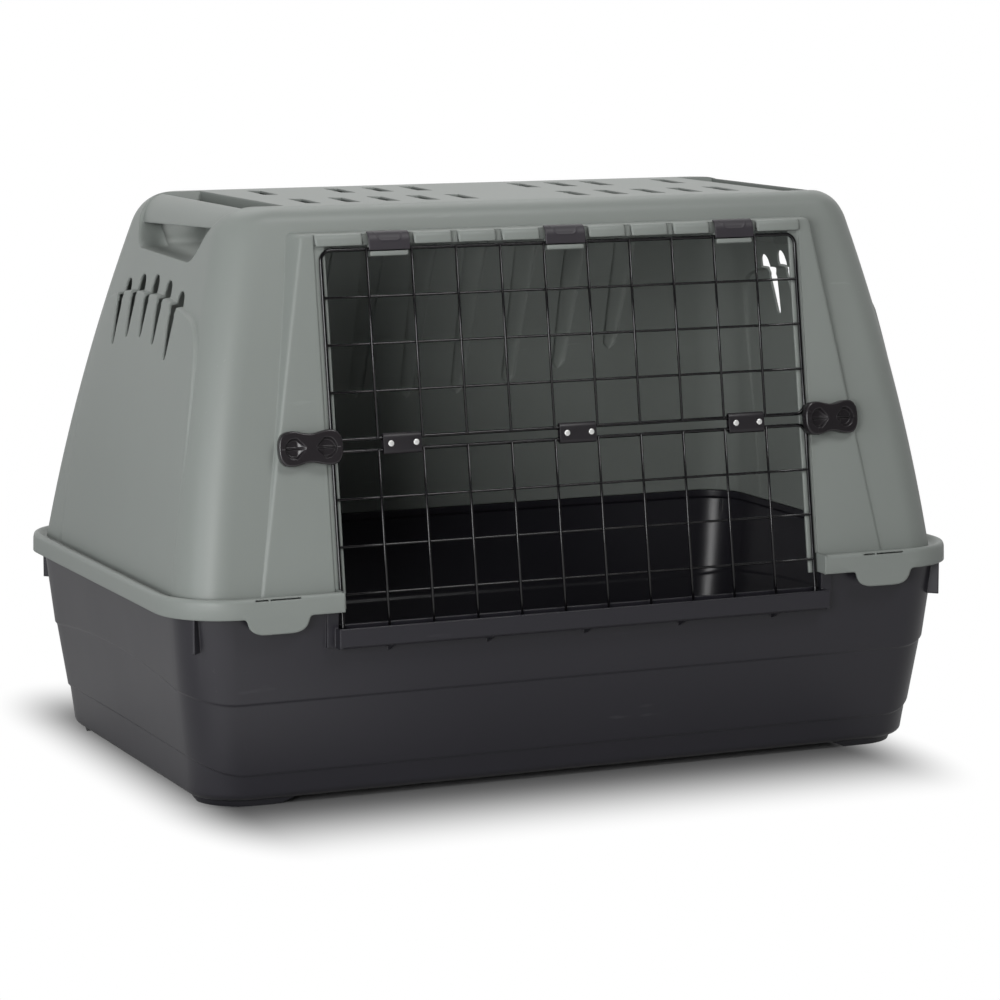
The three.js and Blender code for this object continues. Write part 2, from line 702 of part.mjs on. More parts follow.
// Clearance cut that opens the shell behind the door, rounded at its upper corners.
function doorOpening() {
  const top = -LOBE_DROP;
  const bottom = slopeAt(SKIRT_BOTTOM) - BEYOND;
  const corner = OPENING_CORNER;
  const shape = new THREE.Shape();
  const upper = -top;
  shape.moveTo(-OPENING_HALF, bottom);
  shape.lineTo(OPENING_HALF, bottom);
  shape.lineTo(OPENING_HALF, upper - corner);
  shape.quadraticCurveTo(OPENING_HALF, upper, OPENING_HALF - corner, upper);
  shape.lineTo(corner - OPENING_HALF, upper);
  shape.quadraticCurveTo(-OPENING_HALF, upper, -OPENING_HALF, upper - corner);
  const geometry = extruded(shape, 2 * BEYOND).translate(0, 0, -BEYOND);
  return solid(geometry.applyMatrix4(doorFrame));
}

// Centre of one of the door's openings, counted from the left.
function cellMiddle(cell) {
  return (cell + 0.5) * PITCH_ACROSS - DOOR_HALF;
}

// Lobes of the shell's head between the upright wires, so that these can swing past.
function headLobes() {
  const back = SEAT_FACE - OVERLAP;
  const front = SEAT_FACE + LOBE_RISE;
  const section = [
    [back, LOBE_DROP],
    [front, LOBE_DROP],
    [front, LOBE_DROP + 7.5],
    [front - 1.3, LOBE_DROP + 11.5],
    [SURROUND_FACE, SURROUND_HEAD - 0.4],
    [SURROUND_FACE - 0.6, SURROUND_HEAD - 0.4],
    [back, SURROUND_HEAD - 1.5],
  ];
  const lobes = [];
  for (let cell = 0; cell < COLUMNS; cell += 1) {
    if (CLIP_CELLS.includes(cell)) {
      continue;
    }
    let from = cellMiddle(cell) - (PITCH_ACROSS - LOBE_GROOVE) / 2;
    let to = cellMiddle(cell) + (PITCH_ACROSS - LOBE_GROOVE) / 2;
    if (cell === 0) {
      from = OVERLAP - SEAT_HALF;
    }
    if (cell === COLUMNS - 1) {
      to = SEAT_HALF - OVERLAP;
    }
    lobes.push(solid(doorBar(section, from, to)));
  }
  return lobes;
}

// Hooks that carry the hinge wire: a back, and a lip under the wire.
function hingeHooks() {
  const clear = FRAME_RADIUS + FIT;
  const back = -clear - WALL;
  const seat = [-90, -120, -150, -180].map((degrees) => {
    const angle = THREE.MathUtils.degToRad(degrees);
    const radius = clear / Math.cos(Math.PI / 12);
    return [radius * Math.cos(angle), radius * Math.sin(angle)];
  });
  const section = [
    [back, SURROUND_HEAD - 3],
    [back, -HOOK_DROP],
    [clear + 1, -HOOK_DROP],
    [clear + 2, 1 - HOOK_DROP],
    [clear + 2, -clear - 0.4],
    ...seat,
    [-clear - 0.05, SURROUND_HEAD - 3],
  ];
  return CLIP_CELLS.map((cell) => {
    const middle = cellMiddle(cell);
    return solid(doorBar(section, middle - HOOK_WIDTH / 2, middle + HOOK_WIDTH / 2));
  });
}

// Places of the four snap tabs, as [x, side of the carrier].
function tabPlaces() {
  const x = HALF_LENGTH - TAB_INSET;
  return [[-x, -1], [x, -1], [-x, 1], [x, 1]];
}

function snapTabs() {
  const half = TAB_WIDTH / 2;
  const low = SKIRT_BOTTOM - TAB_REACH;
  const shape = new THREE.Shape();
  shape.moveTo(-half - 5, SKIRT_BOTTOM + 2 * OVERLAP);
  shape.lineTo(-half - 5, SKIRT_BOTTOM);
  shape.bezierCurveTo(-half - 1, SKIRT_BOTTOM, -half - 0.5, SKIRT_BOTTOM - 3.5, 0.7 - half, SKIRT_BOTTOM - 7);
  shape.bezierCurveTo(2.5 - half, SKIRT_BOTTOM - 13.5, 8.5 - half, low + 0.7, 19 - half, low + 0.2);
  shape.lineTo(half - 19, low + 0.2);
  shape.bezierCurveTo(half - 8.5, low + 0.7, half - 2.5, SKIRT_BOTTOM - 13.5, half - 0.7, SKIRT_BOTTOM - 7);
  shape.bezierCurveTo(half + 0.5, SKIRT_BOTTOM - 3.5, half + 1, SKIRT_BOTTOM, half + 5, SKIRT_BOTTOM);
  shape.lineTo(half + 5, SKIRT_BOTTOM + 2 * OVERLAP);
  return tabPlaces().map(([x, end]) => {
    const from = end < 0 ? -HALF_WIDTH : HALF_WIDTH - WALL;
    return solid(alongY(shape, from, from + WALL).translate(x, 0, 0));
  });
}

// Slits in the rim's front above the tabs, and holes in the gutters of the ends.
function gutterCuts() {
  const cuts = [];
  const low = LEDGE - 2 * WALL;
  const high = CREST + 2;
  const inset = (CREST_INSET + GUTTER_INSET) / 2 + 1;
  const slot = TAB_SLOT / 2;
  const level = CREST - 3;
  for (const [x, side] of tabPlaces()) {
    const reach = side < 0 ? [-HALF_WIDTH - 1, 9 - HALF_WIDTH] : [HALF_WIDTH - 9, HALF_WIDTH + 1];
    for (const [from, to] of [[0, 0.29], [0.33, 1]]) {
      const ends = [from, to].map((share) => x + (share - 0.5) * TAB_SLOT_LENGTH);
      cuts.push(solid(box([ends[0], reach[0], level - slot], [ends[1], reach[1], level + slot])));
    }
  }
  for (const end of [-1, 1]) {
    for (const side of [-1, 1]) {
      const hole = new THREE.CylinderGeometry(GUTTER_HOLE / 2, GUTTER_HOLE / 2, high - low, 12);
      hole.rotateX(Math.PI / 2);
      hole.translate(end * (HALF_LENGTH - inset - 1), side * GUTTER_HOLE_SPREAD / 2, (low + high) / 2);
      cuts.push(solid(hole));
    }
  }
  return union(cuts);
}

// Where a latch turns: a frame of reference with z along its spindle.
function latchFrame(side) {
  const place = new THREE.Matrix4().makeTranslation(
    side * (DOOR_HALF + KNOB_OFFSET),
    -FOLD_MIDDLE,
    SURROUND_FACE + SEAT_HEIGHT,
  );
  const tilt = new THREE.Matrix4().makeRotationY(side * KNOB_TILT);
  return doorFrame.clone().multiply(place).multiply(tilt);
}

// A round body on a latch's spindle axis, between two distances from the seat's face.
function spindleRound(side, diameter, from, to) {
  const geometry = new THREE.CylinderGeometry(diameter / 2, diameter / 2, to - from, ROUND_SIDES);
  geometry.rotateX(Math.PI / 2);
  geometry.translate(0, 0, (from + to) / 2);
  return geometry.applyMatrix4(latchFrame(side));
}

function makeShell() {
  const outside = union([
    shellOutside(),
    endPad(0),
    surroundBody(SURROUND_FACE, 0),
  ]);
  const recess = bothEnds(handleRecess(0));
  const recessWall = bothEnds(handleRecess(WALL));
  const cavity = union([
    shellInside(),
    endPad(WALL),
    surroundBody(SURROUND_INSIDE, WALL),
  ]).subtract(recessWall);
  const bars = bothEnds(handleBar())
    .intersect(solid(loft(shellWalls(BAR_INSET))).translate([0, 0, BAR_INSET - BAR_DROP]))
    .intersect(bothEnds(handleRecess(OVERLAP)));
  let shell = outside.subtract(recess).subtract(cavity).add(bars);

  const rebate = doorBlock([-SEAT_HALF, slopeAt(LEDGE + 2), SEAT_FACE], [SEAT_HALF, SURROUND_HEAD - 1.5, BEYOND]);
  const foot = slopeAt(SKIRT_BOTTOM);
  const notchHalf = DOOR_HALF + FRAME_RADIUS + 1.6;
  const notch = doorBlock([-notchHalf, foot - WALL, SEAT_FACE], [notchHalf, slopeAt(LEDGE + 4), BEYOND]);
  const strip = [[SURROUND_INSIDE, foot], [SEAT_FACE, foot], [SEAT_FACE, slopeAt(LEDGE + 8)],
    [SURROUND_INSIDE, slopeAt(LEDGE + 8)]];
  const stripHalf = notchHalf + 1.6;
  const ends = [-1, 1].map((side) => {
    const x = [side * notchHalf, side * (notchHalf + GUTTER_END)].sort((a, b) => a - b);
    const back = doorY(LEDGE, SURROUND_INSIDE);
    return solid(box([x[0], OVERLAP - HALF_WIDTH, SKIRT_BOTTOM + OVERLAP], [x[1], back, CREST - OVERLAP]));
  });
  const seats = [-1, 1].map((side) => solid(spindleRound(side, SEAT_DIAMETER, -SEAT_HEIGHT - WALL, 0)));
  const holes = [-1, 1].map((side) => (
    solid(spindleRound(side, SPINDLE_DIAMETER + 2 * FIT, -BEYOND / 2, BEYOND / 2))
  ));
  shell = shell
    .subtract(solid(rebate))
    .subtract(solid(notch))
    .add(solid(doorBar(strip, -stripHalf, -OPENING_HALF - OVERLAP)))
    .add(solid(doorBar(strip, OPENING_HALF + OVERLAP, stripHalf)))
    .subtract(doorOpening());
  shell = union([shell, ...ends, ...headLobes(), ...hingeHooks(), ...snapTabs(), ...seats]);
  shell = shell
    .subtract(union(holes))
    .subtract(endVents())
    .subtract(roofSlots())
    .subtract(gutterCuts());
  return geometryOf(shell);
}

// ---- tub ----------------------------------------------------------------------------------

function tubSection(z, inset, inward = 0) {
  const gone = inset + inward;
  return {
    z,
    x: HALF_LENGTH - gone,
    front: HALF_WIDTH - gone,
    back: HALF_WIDTH - gone,
    radius: TUB_RADIUS - inward,
  };
}

// A ring of the tub whose height changes round the corners and arches across the ends.
function tubRing({ side, end = side, arch = 0, inset }, inward = 0) {
  const section = tubSection(side, inset, inward);
  const straight = section.back - section.radius;
  return withEndPoints(roundedRing(section)).map((point) => {
    const y = Math.abs(point.y);
    const turn = Math.max(y - straight, 0) / section.radius;
    const bow = y < straight ? arch * (1 - (y / straight) ** 2) : 0;
    point.z = side + (end - side) * (1 - turn ** 2) + bow;
    return point;
  });
}

// Levels of the tub's outside, from its bottom edge to the flange.
function tubLevels() {
  const bottom = FOOT_HEIGHT;
  const rounding = BOTTOM_ROUNDING;
  const steps = [...TUB_STEPS].reverse().flatMap(({ side, end, arch, above, below }) => [
    { side: side - STEP_SLOPE / 2, end: end - STEP_SLOPE / 2, arch, inset: below },
    { side: side + STEP_SLOPE / 2, end: end + STEP_SLOPE / 2, arch, inset: above },
  ]);
  return [
    { side: bottom, inset: TUB_BOTTOM + rounding },
    { side: bottom + 0.12 * rounding, inset: TUB_BOTTOM + 0.5 * rounding },
    { side: bottom + 0.5 * rounding, inset: TUB_BOTTOM + 0.12 * rounding },
    { side: bottom + rounding, inset: TUB_BOTTOM },
    ...steps,
    { side: FLANGE_BOTTOM, inset: TUB_TOP },
    { side: FLANGE_BOTTOM + FLANGE_THICKNESS, inset: TUB_RIM },
  ];
}

function tubBody() {
  const rimTop = LEDGE - WALL - FIT;
  const levels = tubLevels();
  const outside = [...levels, { side: rimTop, inset: TUB_RIM }];
  const floor = levels.slice(1, 4).map((level) => ({ ...level, side: level.side + WALL }));
  const inside = [...floor, ...levels.slice(4), { side: rimTop + BEYOND, inset: TUB_RIM }];
  const flange = [
    rimSection(FLANGE_BOTTOM, WALL + FIT),
    rimSection(FLANGE_BOTTOM + FLANGE_THICKNESS, WALL + FIT),
  ];
  const body = solid(loft(outside.map((level) => tubRing(level))));
  return body
    .add(solid(loft(flange.map(roundedRing))))
    .subtract(solid(loft(inside.map((level) => tubRing(level, WALL)))));
}

// Inset of the tub's outside at a height between the upper step and the flange.
function tubInset(z) {
  const upper = TUB_STEPS[0];
  const t = (z - upper.side) / (FLANGE_BOTTOM - upper.side);
  return upper.above + (TUB_TOP - upper.above) * t;
}

// Feet under the corners, each a slab that follows the tub's bottom outline.
function feet() {
  const rings = [
    tubSection(0, TUB_BOTTOM + FOOT_INSET + 2, 0),
    tubSection(FOOT_HEIGHT + OVERLAP, TUB_BOTTOM + FOOT_INSET, 0),
  ];
  const slab = solid(loft(rings.map(roundedRing)));
  const x = HALF_LENGTH - TUB_BOTTOM - FOOT_LENGTH;
  const y = HALF_WIDTH - TUB_BOTTOM - FOOT_WIDTH;
  const taper = 12;
  const across = solid(alongY(outline([
    [-x - taper, -OVERLAP], [x + taper, -OVERLAP], [x - taper, FOOT_HEIGHT + 2], [taper - x, FOOT_HEIGHT + 2],
  ].reverse()), -HALF_WIDTH, HALF_WIDTH));
  const lengthwise = solid(alongX(outline([
    [-y - taper, -OVERLAP], [y + taper, -OVERLAP], [y - taper, FOOT_HEIGHT + 2], [taper - y, FOOT_HEIGHT + 2],
  ]), -HALF_LENGTH, HALF_LENGTH));
  return slab.subtract(across).subtract(lengthwise);
}

// Upright ribs on the diagonals of the corners, under the flange.
function cornerRibs() {
  const centre = TUB_RADIUS + TUB_TOP;
  const reach = TUB_RADIUS + CORNER_RIB_REACH;
  const ribs = [];
  for (const sx of [-1, 1]) {
    for (const sy of [-1, 1]) {
      const plate = box(
        [TUB_RADIUS - 2 * STEP_SLOPE, -CORNER_RIB_THICKNESS / 2, FLANGE_BOTTOM - CORNER_RIB_HEIGHT],
        [reach, CORNER_RIB_THICKNESS / 2, FLANGE_BOTTOM + OVERLAP],
      );
      plate.rotateZ(Math.atan2(sy, sx));
      plate.translate(sx * (HALF_LENGTH - centre), sy * (HALF_WIDTH - centre), 0);
      ribs.push(solid(plate));
    }
  }
  return ribs;
}

// Trough that takes the lower wire of the door, with its lip, floor, ends and gussets.
function sillParts(floorTop) {
  const half = DOORWAY_HALF + SILL_END;
  const bottom = floorTop - WALL;
  const wallY = TROUGH_INSET - HALF_WIDTH;
  const front = -HALF_WIDTH;
  const lip = outline([
    [front, bottom + SILL_CHAMFER],
    [front + SILL_CHAMFER, bottom],
    [wallY + WALL, bottom],
    [wallY + WALL, THRESHOLD],
    [wallY, THRESHOLD],
    [wallY, floorTop],
    [front + WALL, floorTop],
    [front + WALL, SILL_TOP],
    [front, SILL_TOP],
  ]);
  const parts = [alongX(lip, -half, half)];
  for (const side of [-1, 1]) {
    const ends = [side * DOORWAY_HALF, side * half].sort((a, b) => a - b);
    parts.push(box([ends[0], front + OVERLAP, bottom + OVERLAP], [ends[1], wallY + WALL / 2, SILL_TOP - 1]));
    const pier = [side * DOORWAY_HALF, side * (DOORWAY_HALF + PILASTER_WIDTH)].sort((a, b) => a - b);
    const proud = -HALF_WIDTH + tubInset(THRESHOLD) - PILASTER_RISE;
    parts.push(box([pier[0], proud, bottom + OVERLAP], [pier[1], wallY + OVERLAP, FLANGE_BOTTOM + OVERLAP]));
  }
  const gusset = outline([
    [front + WALL, bottom + OVERLAP],
    [wallY, bottom + OVERLAP],
    [wallY, bottom - GUSSET_HEIGHT],
  ].reverse());
  for (let i = 0; i < GUSSET_COUNT; i += 1) {
    const x = (i - (GUSSET_COUNT - 1) / 2) * GUSSET_PITCH;
    parts.push(alongX(gusset, x - WALL / 2, x + WALL / 2));
  }
  return parts.map(solid);
}

function makeTub() {
  const floorTop = DOOR_TOP_Z - DOOR_HEIGHT * Math.cos(DOOR_LEAN) - FRAME_RADIUS - FIT;
  const doorway = box(
    [-DOORWAY_HALF, -HALF_WIDTH - BEYOND, THRESHOLD],
    [DOORWAY_HALF, -HALF_WIDTH + 2 * TUB_RIM, HEIGHT],
  );
  const trough = box(
    [-DOORWAY_HALF, -HALF_WIDTH - BEYOND, floorTop],
    [DOORWAY_HALF, -HALF_WIDTH + TROUGH_INSET, HEIGHT],
  );
  const body = union([tubBody(), feet(), ...cornerRibs()])
    .subtract(solid(doorway))
    .subtract(solid(trough));
  return geometryOf(union([body, ...sillParts(floorTop)]));
}

// ---- door ---------------------------------------------------------------------------------

// A round wire between two points of the door's frame.
function wire(from, to, radius) {
  const start = new THREE.Vector3(...from);
  const end = new THREE.Vector3(...to);
  const length = start.distanceTo(end);
  const geometry = new THREE.CylinderGeometry(radius, radius, length, WIRE_SIDES);
  geometry.rotateY(Math.PI / WIRE_SIDES);
  const turn = new THREE.Quaternion().setFromUnitVectors(
    new THREE.Vector3(0, 1, 0),
    end.clone().sub(start).normalize(),
  );
  geometry.applyQuaternion(turn);
  const middle = start.add(end).multiplyScalar(0.5);
  return geometry.translate(middle.x, middle.y, middle.z);
}

// The frame of a panel: one wire bent round four corners and closed on itself.
function bentFrame(top, bottom) {
  const rings = [];
  const corners = [
    [DOOR_HALF - FRAME_CORNER, top - FRAME_CORNER, 0],
    [FRAME_CORNER - DOOR_HALF, top - FRAME_CORNER, 1],
    [FRAME_CORNER - DOOR_HALF, bottom + FRAME_CORNER, 2],
    [DOOR_HALF - FRAME_CORNER, bottom + FRAME_CORNER, 3],
  ];
  const steps = 4;
  for (const [cx, cy, quarter] of corners) {
    for (let step = 0; step <= steps; step += 1) {
      const angle = (quarter + step / steps) * Math.PI / 2;
      const out = new THREE.Vector3(Math.cos(angle), Math.sin(angle), 0);
      const middle = new THREE.Vector3(cx, cy, 0).addScaledVector(out, FRAME_CORNER);
      const ring = [];
      for (let side = 0; side < WIRE_SIDES; side += 1) {
        const around = (side + 0.5) * 2 * Math.PI / WIRE_SIDES;
        const point = middle.clone().addScaledVector(out, FRAME_RADIUS * Math.sin(around));
        point.z += FRAME_RADIUS * Math.cos(around);
        ring.push(point);
      }
      rings.push(ring);
    }
  }
  return loft(rings, true);
}

// A welded panel of wire. Top and bottom are places on the slope, below the hinge wire.
function wirePanel(top, bottom) {
  const parts = [bentFrame(top, bottom)];
  for (let row = 1; row < ROWS; row += 1) {
    const y = top - row * PITCH_DOWN;
    parts.push(wire([-DOOR_HALF, y, LEVEL_WIRE], [DOOR_HALF, y, LEVEL_WIRE], GRID_RADIUS));
  }
  for (let column = 1; column < COLUMNS; column += 1) {
    const x = column * PITCH_ACROSS - DOOR_HALF;
    const spare = GRID_RADIUS / 2;
    parts.push(wire([x, top + spare, UPRIGHT_WIRE], [x, bottom - spare, UPRIGHT_WIRE], GRID_RADIUS));
  }
  const panel = union(parts.map(solid));
  return geometryOf(panel).applyMatrix4(doorFrame);
}

// A hinge clip: a curved cover over the hinge wire, closed by the hook under it.
function makeHingeClip(cell) {
  const front = FRAME_RADIUS + FIT + CLIP_WALL + 2;
  const top = CLIP_HEAD;
  const back = SURROUND_FACE + FIT / 2;
  const outer = [
    [back, top],
    [back + 1.2, top - 0.2],
    [front - 2.4, top - 3.2],
    [front - 0.6, top - 7],
    [front, top - 11],
    [front, -1.6],
  ];
  const inner = [
    [front - CLIP_WALL, -1.6],
    [front - CLIP_WALL, top - 10.6],
    [front - 0.7 - CLIP_WALL, top - 7],
    [front - 3 - CLIP_WALL, top - 4.4],
    [back, top - 3.4],
  ];
  const middle = cellMiddle(cell);
  return doorBar([...outer, ...inner], middle - CLIP_WIDTH / 2, middle + CLIP_WIDTH / 2);
}

// A joint clip: folded sheet with an eye for each of the two wires at the fold.
function makeJointClip(cell) {
  const deep = JOINT_DEPTH / 2;
  const reach = FOLD_GAP / 2;
  const bend = JOINT_HEIGHT / 2 - reach;
  const middle = cellMiddle(cell);
  const section = new THREE.Shape();
  section.moveTo(deep, -reach);
  section.lineTo(deep, reach);
  section.absellipse(0, reach, deep, bend, 0, Math.PI);
  section.lineTo(-deep, -reach);
  section.absellipse(0, -reach, deep, bend, Math.PI, 2 * Math.PI);
  for (const y of [-reach, reach]) {
    const hole = new THREE.Path();
    hole.absellipse(0, y, deep - JOINT_WALL, bend - JOINT_WALL, 0, 2 * Math.PI, true);
    section.holes.push(hole);
  }
  const geometry = extruded(section, JOINT_WIDTH);
  geometry.rotateY(Math.PI / 2);
  geometry.translate(middle + JOINT_SHIFT - JOINT_WIDTH / 2, -FOLD_MIDDLE, 0);
  let body = solid(geometry);
  for (const place of RIVET_PLACES) {
    const hole = new THREE.CylinderGeometry(
      RIVET_DIAMETER / 2 + FIT,
      RIVET_DIAMETER / 2 + FIT,
      4 * deep,
      RIVET_SIDES,
    );
    hole.rotateX(Math.PI / 2);
    hole.translate(middle + place, -FOLD_MIDDLE, 0);
    body = body.subtract(solid(hole));
  }
  return geometryOf(body).applyMatrix4(doorFrame);
}

// A rivet with a low domed head on each side of its clip.
function makeRivet(cell, place) {
  const face = JOINT_DEPTH / 2 + FIT;
  const head = RIVET_HEAD / 2;
  const shank = RIVET_DIAMETER / 2;
  const top = face + RIVET_HEAD_HEIGHT;
  const profile = [
    [0, -top], [0.6 * head, -top], [head, -face - 0.35], [head, -face], [shank, -face],
    [shank, face], [head, face], [head, face + 0.35], [0.6 * head, top], [0, top],
  ].map(([x, y]) => new THREE.Vector2(x, y));
  const geometry = new THREE.LatheGeometry(profile, RIVET_SIDES);
  geometry.rotateX(Math.PI / 2);
  geometry.translate(cellMiddle(cell) + place, -FOLD_MIDDLE, 0);
  return geometryOf(solid(geometry)).applyMatrix4(doorFrame);
}

// ---- latches ------------------------------------------------------------------------------

// Bone-shaped outline of a knob, in its own frame: x along it, y across.
function knobOutline(shrink) {
  const length = KNOB_LENGTH / 2 - shrink;
  const height = KNOB_HEIGHT / 2 - shrink;
  const waist = KNOB_WAIST / 2 - shrink;
  const shape = new THREE.Shape();
  shape.moveTo(0, -waist);
  for (const [x, y] of [[1, 1], [-1, -1]]) {
    const long = x * length;
    const high = y * height;
    shape.bezierCurveTo(0.26 * long, -y * waist, 0.36 * long, -high, 0.6 * long, -high);
    shape.bezierCurveTo(0.76 * long, -high, 0.86 * long, -0.93 * high, 0.93 * long, -0.68 * high);
    shape.bezierCurveTo(long, -0.45 * high, long, -0.2 * high, long, 0);
    shape.bezierCurveTo(long, 0.2 * high, long, 0.45 * high, 0.93 * long, 0.68 * high);
    shape.bezierCurveTo(0.86 * long, 0.93 * high, 0.76 * long, high, 0.6 * long, high);
    shape.bezierCurveTo(0.36 * long, high, 0.26 * long, y * waist, 0, y * waist);
  }
  return shape;
}

// Fan-shaped hollow for a finger in one half of the knob.
function makeHollow(side) {
  const half = HOLLOW_HEIGHT / 2;
  const wide = HOLLOW_START + half;
  const shape = new THREE.Shape();
  shape.moveTo(HOLLOW_START, -1);
  shape.lineTo(wide, -half);
  shape.quadraticCurveTo(HOLLOW_END, -half, HOLLOW_END, 0);
  shape.quadraticCurveTo(HOLLOW_END, half, wide, half);
  shape.lineTo(HOLLOW_START, 1);
  shape.lineTo(HOLLOW_START, -1);
  const geometry = extruded(shape, HOLLOW_DEPTH + 1, 5);
  if (side < 0) {
    geometry.rotateZ(Math.PI);
  }
  return solid(geometry.translate(0, 0, FIT + KNOB_THICKNESS - HOLLOW_DEPTH));
}

function makeKnob(side) {
  const bevel = 2.5;
  const plate = new THREE.ExtrudeGeometry(knobOutline(bevel), {
    depth: KNOB_THICKNESS - 2 * bevel,
    bevelThickness: bevel,
    bevelSize: bevel,
    bevelSegments: 2,
    curveSegments: 5,
  });
  plate.translate(0, 0, FIT + bevel);
  const socket = new THREE.CylinderGeometry(
    SPINDLE_DIAMETER / 2 + FIT,
    SPINDLE_DIAMETER / 2 + FIT,
    SOCKET_DEPTH + 1,
    ROUND_SIDES,
  );
  socket.rotateX(Math.PI / 2);
  socket.translate(0, 0, FIT - 1 + (SOCKET_DEPTH + 1) / 2);
  const knob = solid(plate).subtract(union([makeHollow(-1), makeHollow(1), solid(socket)]));
  return geometryOf(knob).applyMatrix4(latchFrame(side));
}

// How far the spindle reaches behind the seat, to the retainer's far face.
const SPINDLE_REACH = SEAT_HEIGHT + REBATE_DEPTH + 2 * WALL;

function makeSpindle(side) {
  return spindleRound(side, SPINDLE_DIAMETER, -SPINDLE_REACH - RETAINER_THICKNESS, SOCKET_DEPTH);
}

function makeRetainer(side) {
  const ring = solid(spindleRound(side, RETAINER_DIAMETER, -SPINDLE_REACH - RETAINER_THICKNESS, -SPINDLE_REACH));
  const bore = solid(spindleRound(side, SPINDLE_DIAMETER + 2 * FIT, -BEYOND, BEYOND));
  return geometryOf(ring.subtract(bore));
}

// ---- assembly -----------------------------------------------------------------------------

const carrier = new THREE.Group();

function place(name, geometry, material) {
  const mesh = new THREE.Mesh(geometry, material);
  mesh.name = name;
  carrier.add(mesh);
}

place('tub', makeTub(), tubPlastic);
place('shell', makeShell(), shellPlastic);
place('upper_door_panel', wirePanel(0, -PANEL_HEIGHT), coatedWire);
place('lower_door_panel', wirePanel(-PANEL_HEIGHT - FOLD_GAP, -DOOR_HEIGHT), coatedWire);

const clipNames = ['left', 'middle', 'right'];
CLIP_CELLS.forEach((cell, i) => {
  place(`hinge_clip_${clipNames[i]}`, makeHingeClip(cell), clipPlastic);
  place(`joint_clip_${clipNames[i]}`, makeJointClip(cell), sheetSteel);
  place(`rivet_${clipNames[i]}_a`, makeRivet(cell, RIVET_PLACES[0]), rivetMetal);
  place(`rivet_${clipNames[i]}_b`, makeRivet(cell, RIVET_PLACES[1]), rivetMetal);
});

for (const [name, side] of [['left', -1], ['right', 1]]) {
  place(`latch_knob_${name}`, makeKnob(side), latchPlastic);
  place(`latch_spindle_${name}`, makeSpindle(side), latchPlastic);
  place(`latch_retainer_${name}`, makeRetainer(side), latchPlastic);
}

export default carrier;
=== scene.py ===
"""Visual model of a pet carrier: charcoal tub, grey-green shell and folding wire door.

The mouldings are worked out in millimetres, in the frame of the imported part: X along the
carrier, Y from the door side to the back, Z up from the floor. Meshes are written in metres.
"""

import logging
import math
from collections.abc import Callable, Sequence
from dataclasses import dataclass
from enum import Enum

import bmesh
import bpy
import numpy as np
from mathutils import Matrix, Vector


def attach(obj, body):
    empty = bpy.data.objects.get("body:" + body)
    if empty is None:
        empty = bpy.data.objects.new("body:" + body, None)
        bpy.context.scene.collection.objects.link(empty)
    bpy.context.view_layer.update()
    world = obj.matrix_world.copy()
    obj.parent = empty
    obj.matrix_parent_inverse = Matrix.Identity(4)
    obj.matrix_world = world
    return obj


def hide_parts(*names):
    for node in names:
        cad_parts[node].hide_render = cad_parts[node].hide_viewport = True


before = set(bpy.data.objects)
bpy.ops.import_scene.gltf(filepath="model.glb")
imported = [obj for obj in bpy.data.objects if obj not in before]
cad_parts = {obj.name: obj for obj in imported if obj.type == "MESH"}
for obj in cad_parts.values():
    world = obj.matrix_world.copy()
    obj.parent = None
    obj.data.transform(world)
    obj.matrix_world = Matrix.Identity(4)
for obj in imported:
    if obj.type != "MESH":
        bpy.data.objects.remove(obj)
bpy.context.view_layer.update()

LOG = logging.getLogger("carrier")
MM = 0.001
BEYOND = 60.0  # how far a cut goes past what it cuts
OVERLAP = 0.5  # how far two bodies that are joined reach into each other
Points = np.ndarray
Shade = tuple[float, float, float]
Curve = tuple[tuple[float, float], ...]


# ---- outlines and rings -------------------------------------------------------------------


def traced(start: Sequence[float], *segments: Sequence[Sequence[float]], steps: int = 14) -> Points:
    """Follow lines and Bezier curves from a start point.

    Args:
        start: First point.
        segments: For each segment its further control points: one for a line, two or three
            for a curve.
        steps: Points on each curve.

    Returns:
        The points, one row each, without a repeat of the first one.
    """
    points = [np.array(start, float)]
    for segment in segments:
        controls = [points[-1], *(np.array(point, float) for point in segment)]
        order = len(controls) - 1
        count = 1 if order == 1 else steps
        for step in range(1, count + 1):
            t = step / count
            weights = [math.comb(order, k) * t**k * (1 - t) ** (order - k) for k in range(order + 1)]
            points.append(sum(weight * control for weight, control in zip(weights, controls)))
    if np.allclose(points[0], points[-1]):
        points.pop()
    return np.array(points)


def rounded(corners: Sequence[Sequence[float]], radius: float, steps: int = 5) -> Points:
    """Round the corners of a closed outline.

    Args:
        corners: The outline's corners, in order.
        radius: How far the rounding reaches along each edge, at most.
        steps: Points on each rounded corner, less one.

    Returns:
        The rounded outline.
    """
    corners = np.array(corners, float)
    points = []
    for index, corner in enumerate(corners):
        arms = [corners[index - 1] - corner, corners[(index + 1) % len(corners)] - corner]
        sizes = [float(np.linalg.norm(arm)) for arm in arms]
        reach = min(radius, 0.48 * min(sizes))
        ends = [corner + arm * reach / size for arm, size in zip(arms, sizes)]
        for step in range(steps + 1):
            t = step / steps
            points.append((1 - t) ** 2 * ends[0] + 2 * t * (1 - t) * corner + t**2 * ends[1])
    return np.array(points)


def inset(outline: Points, distance: float) -> Points:
    """Move every point of a closed flat outline inward, along its two edges' normals.

    Args:
        outline: The outline's corners.
        distance: How far to move them.

    Returns:
        The moved corners.
    """
    ahead = np.roll(outline, -1, 0) - outline
    ahead /= np.linalg.norm(ahead, axis=1, keepdims=True)
    behind = np.roll(ahead, 1, 0)
    area = np.sum(outline[:, 0] * np.roll(outline[:, 1], -1) - outline[:, 1] * np.roll(outline[:, 0], -1))
    turn = np.array([[0, 1], [-1, 0]]) * (1 if area > 0 else -1)
    normal = ahead @ turn + behind @ turn
    normal /= np.maximum(np.sum(normal**2, axis=1, keepdims=True), 0.6) / 2
    return outline + normal * distance


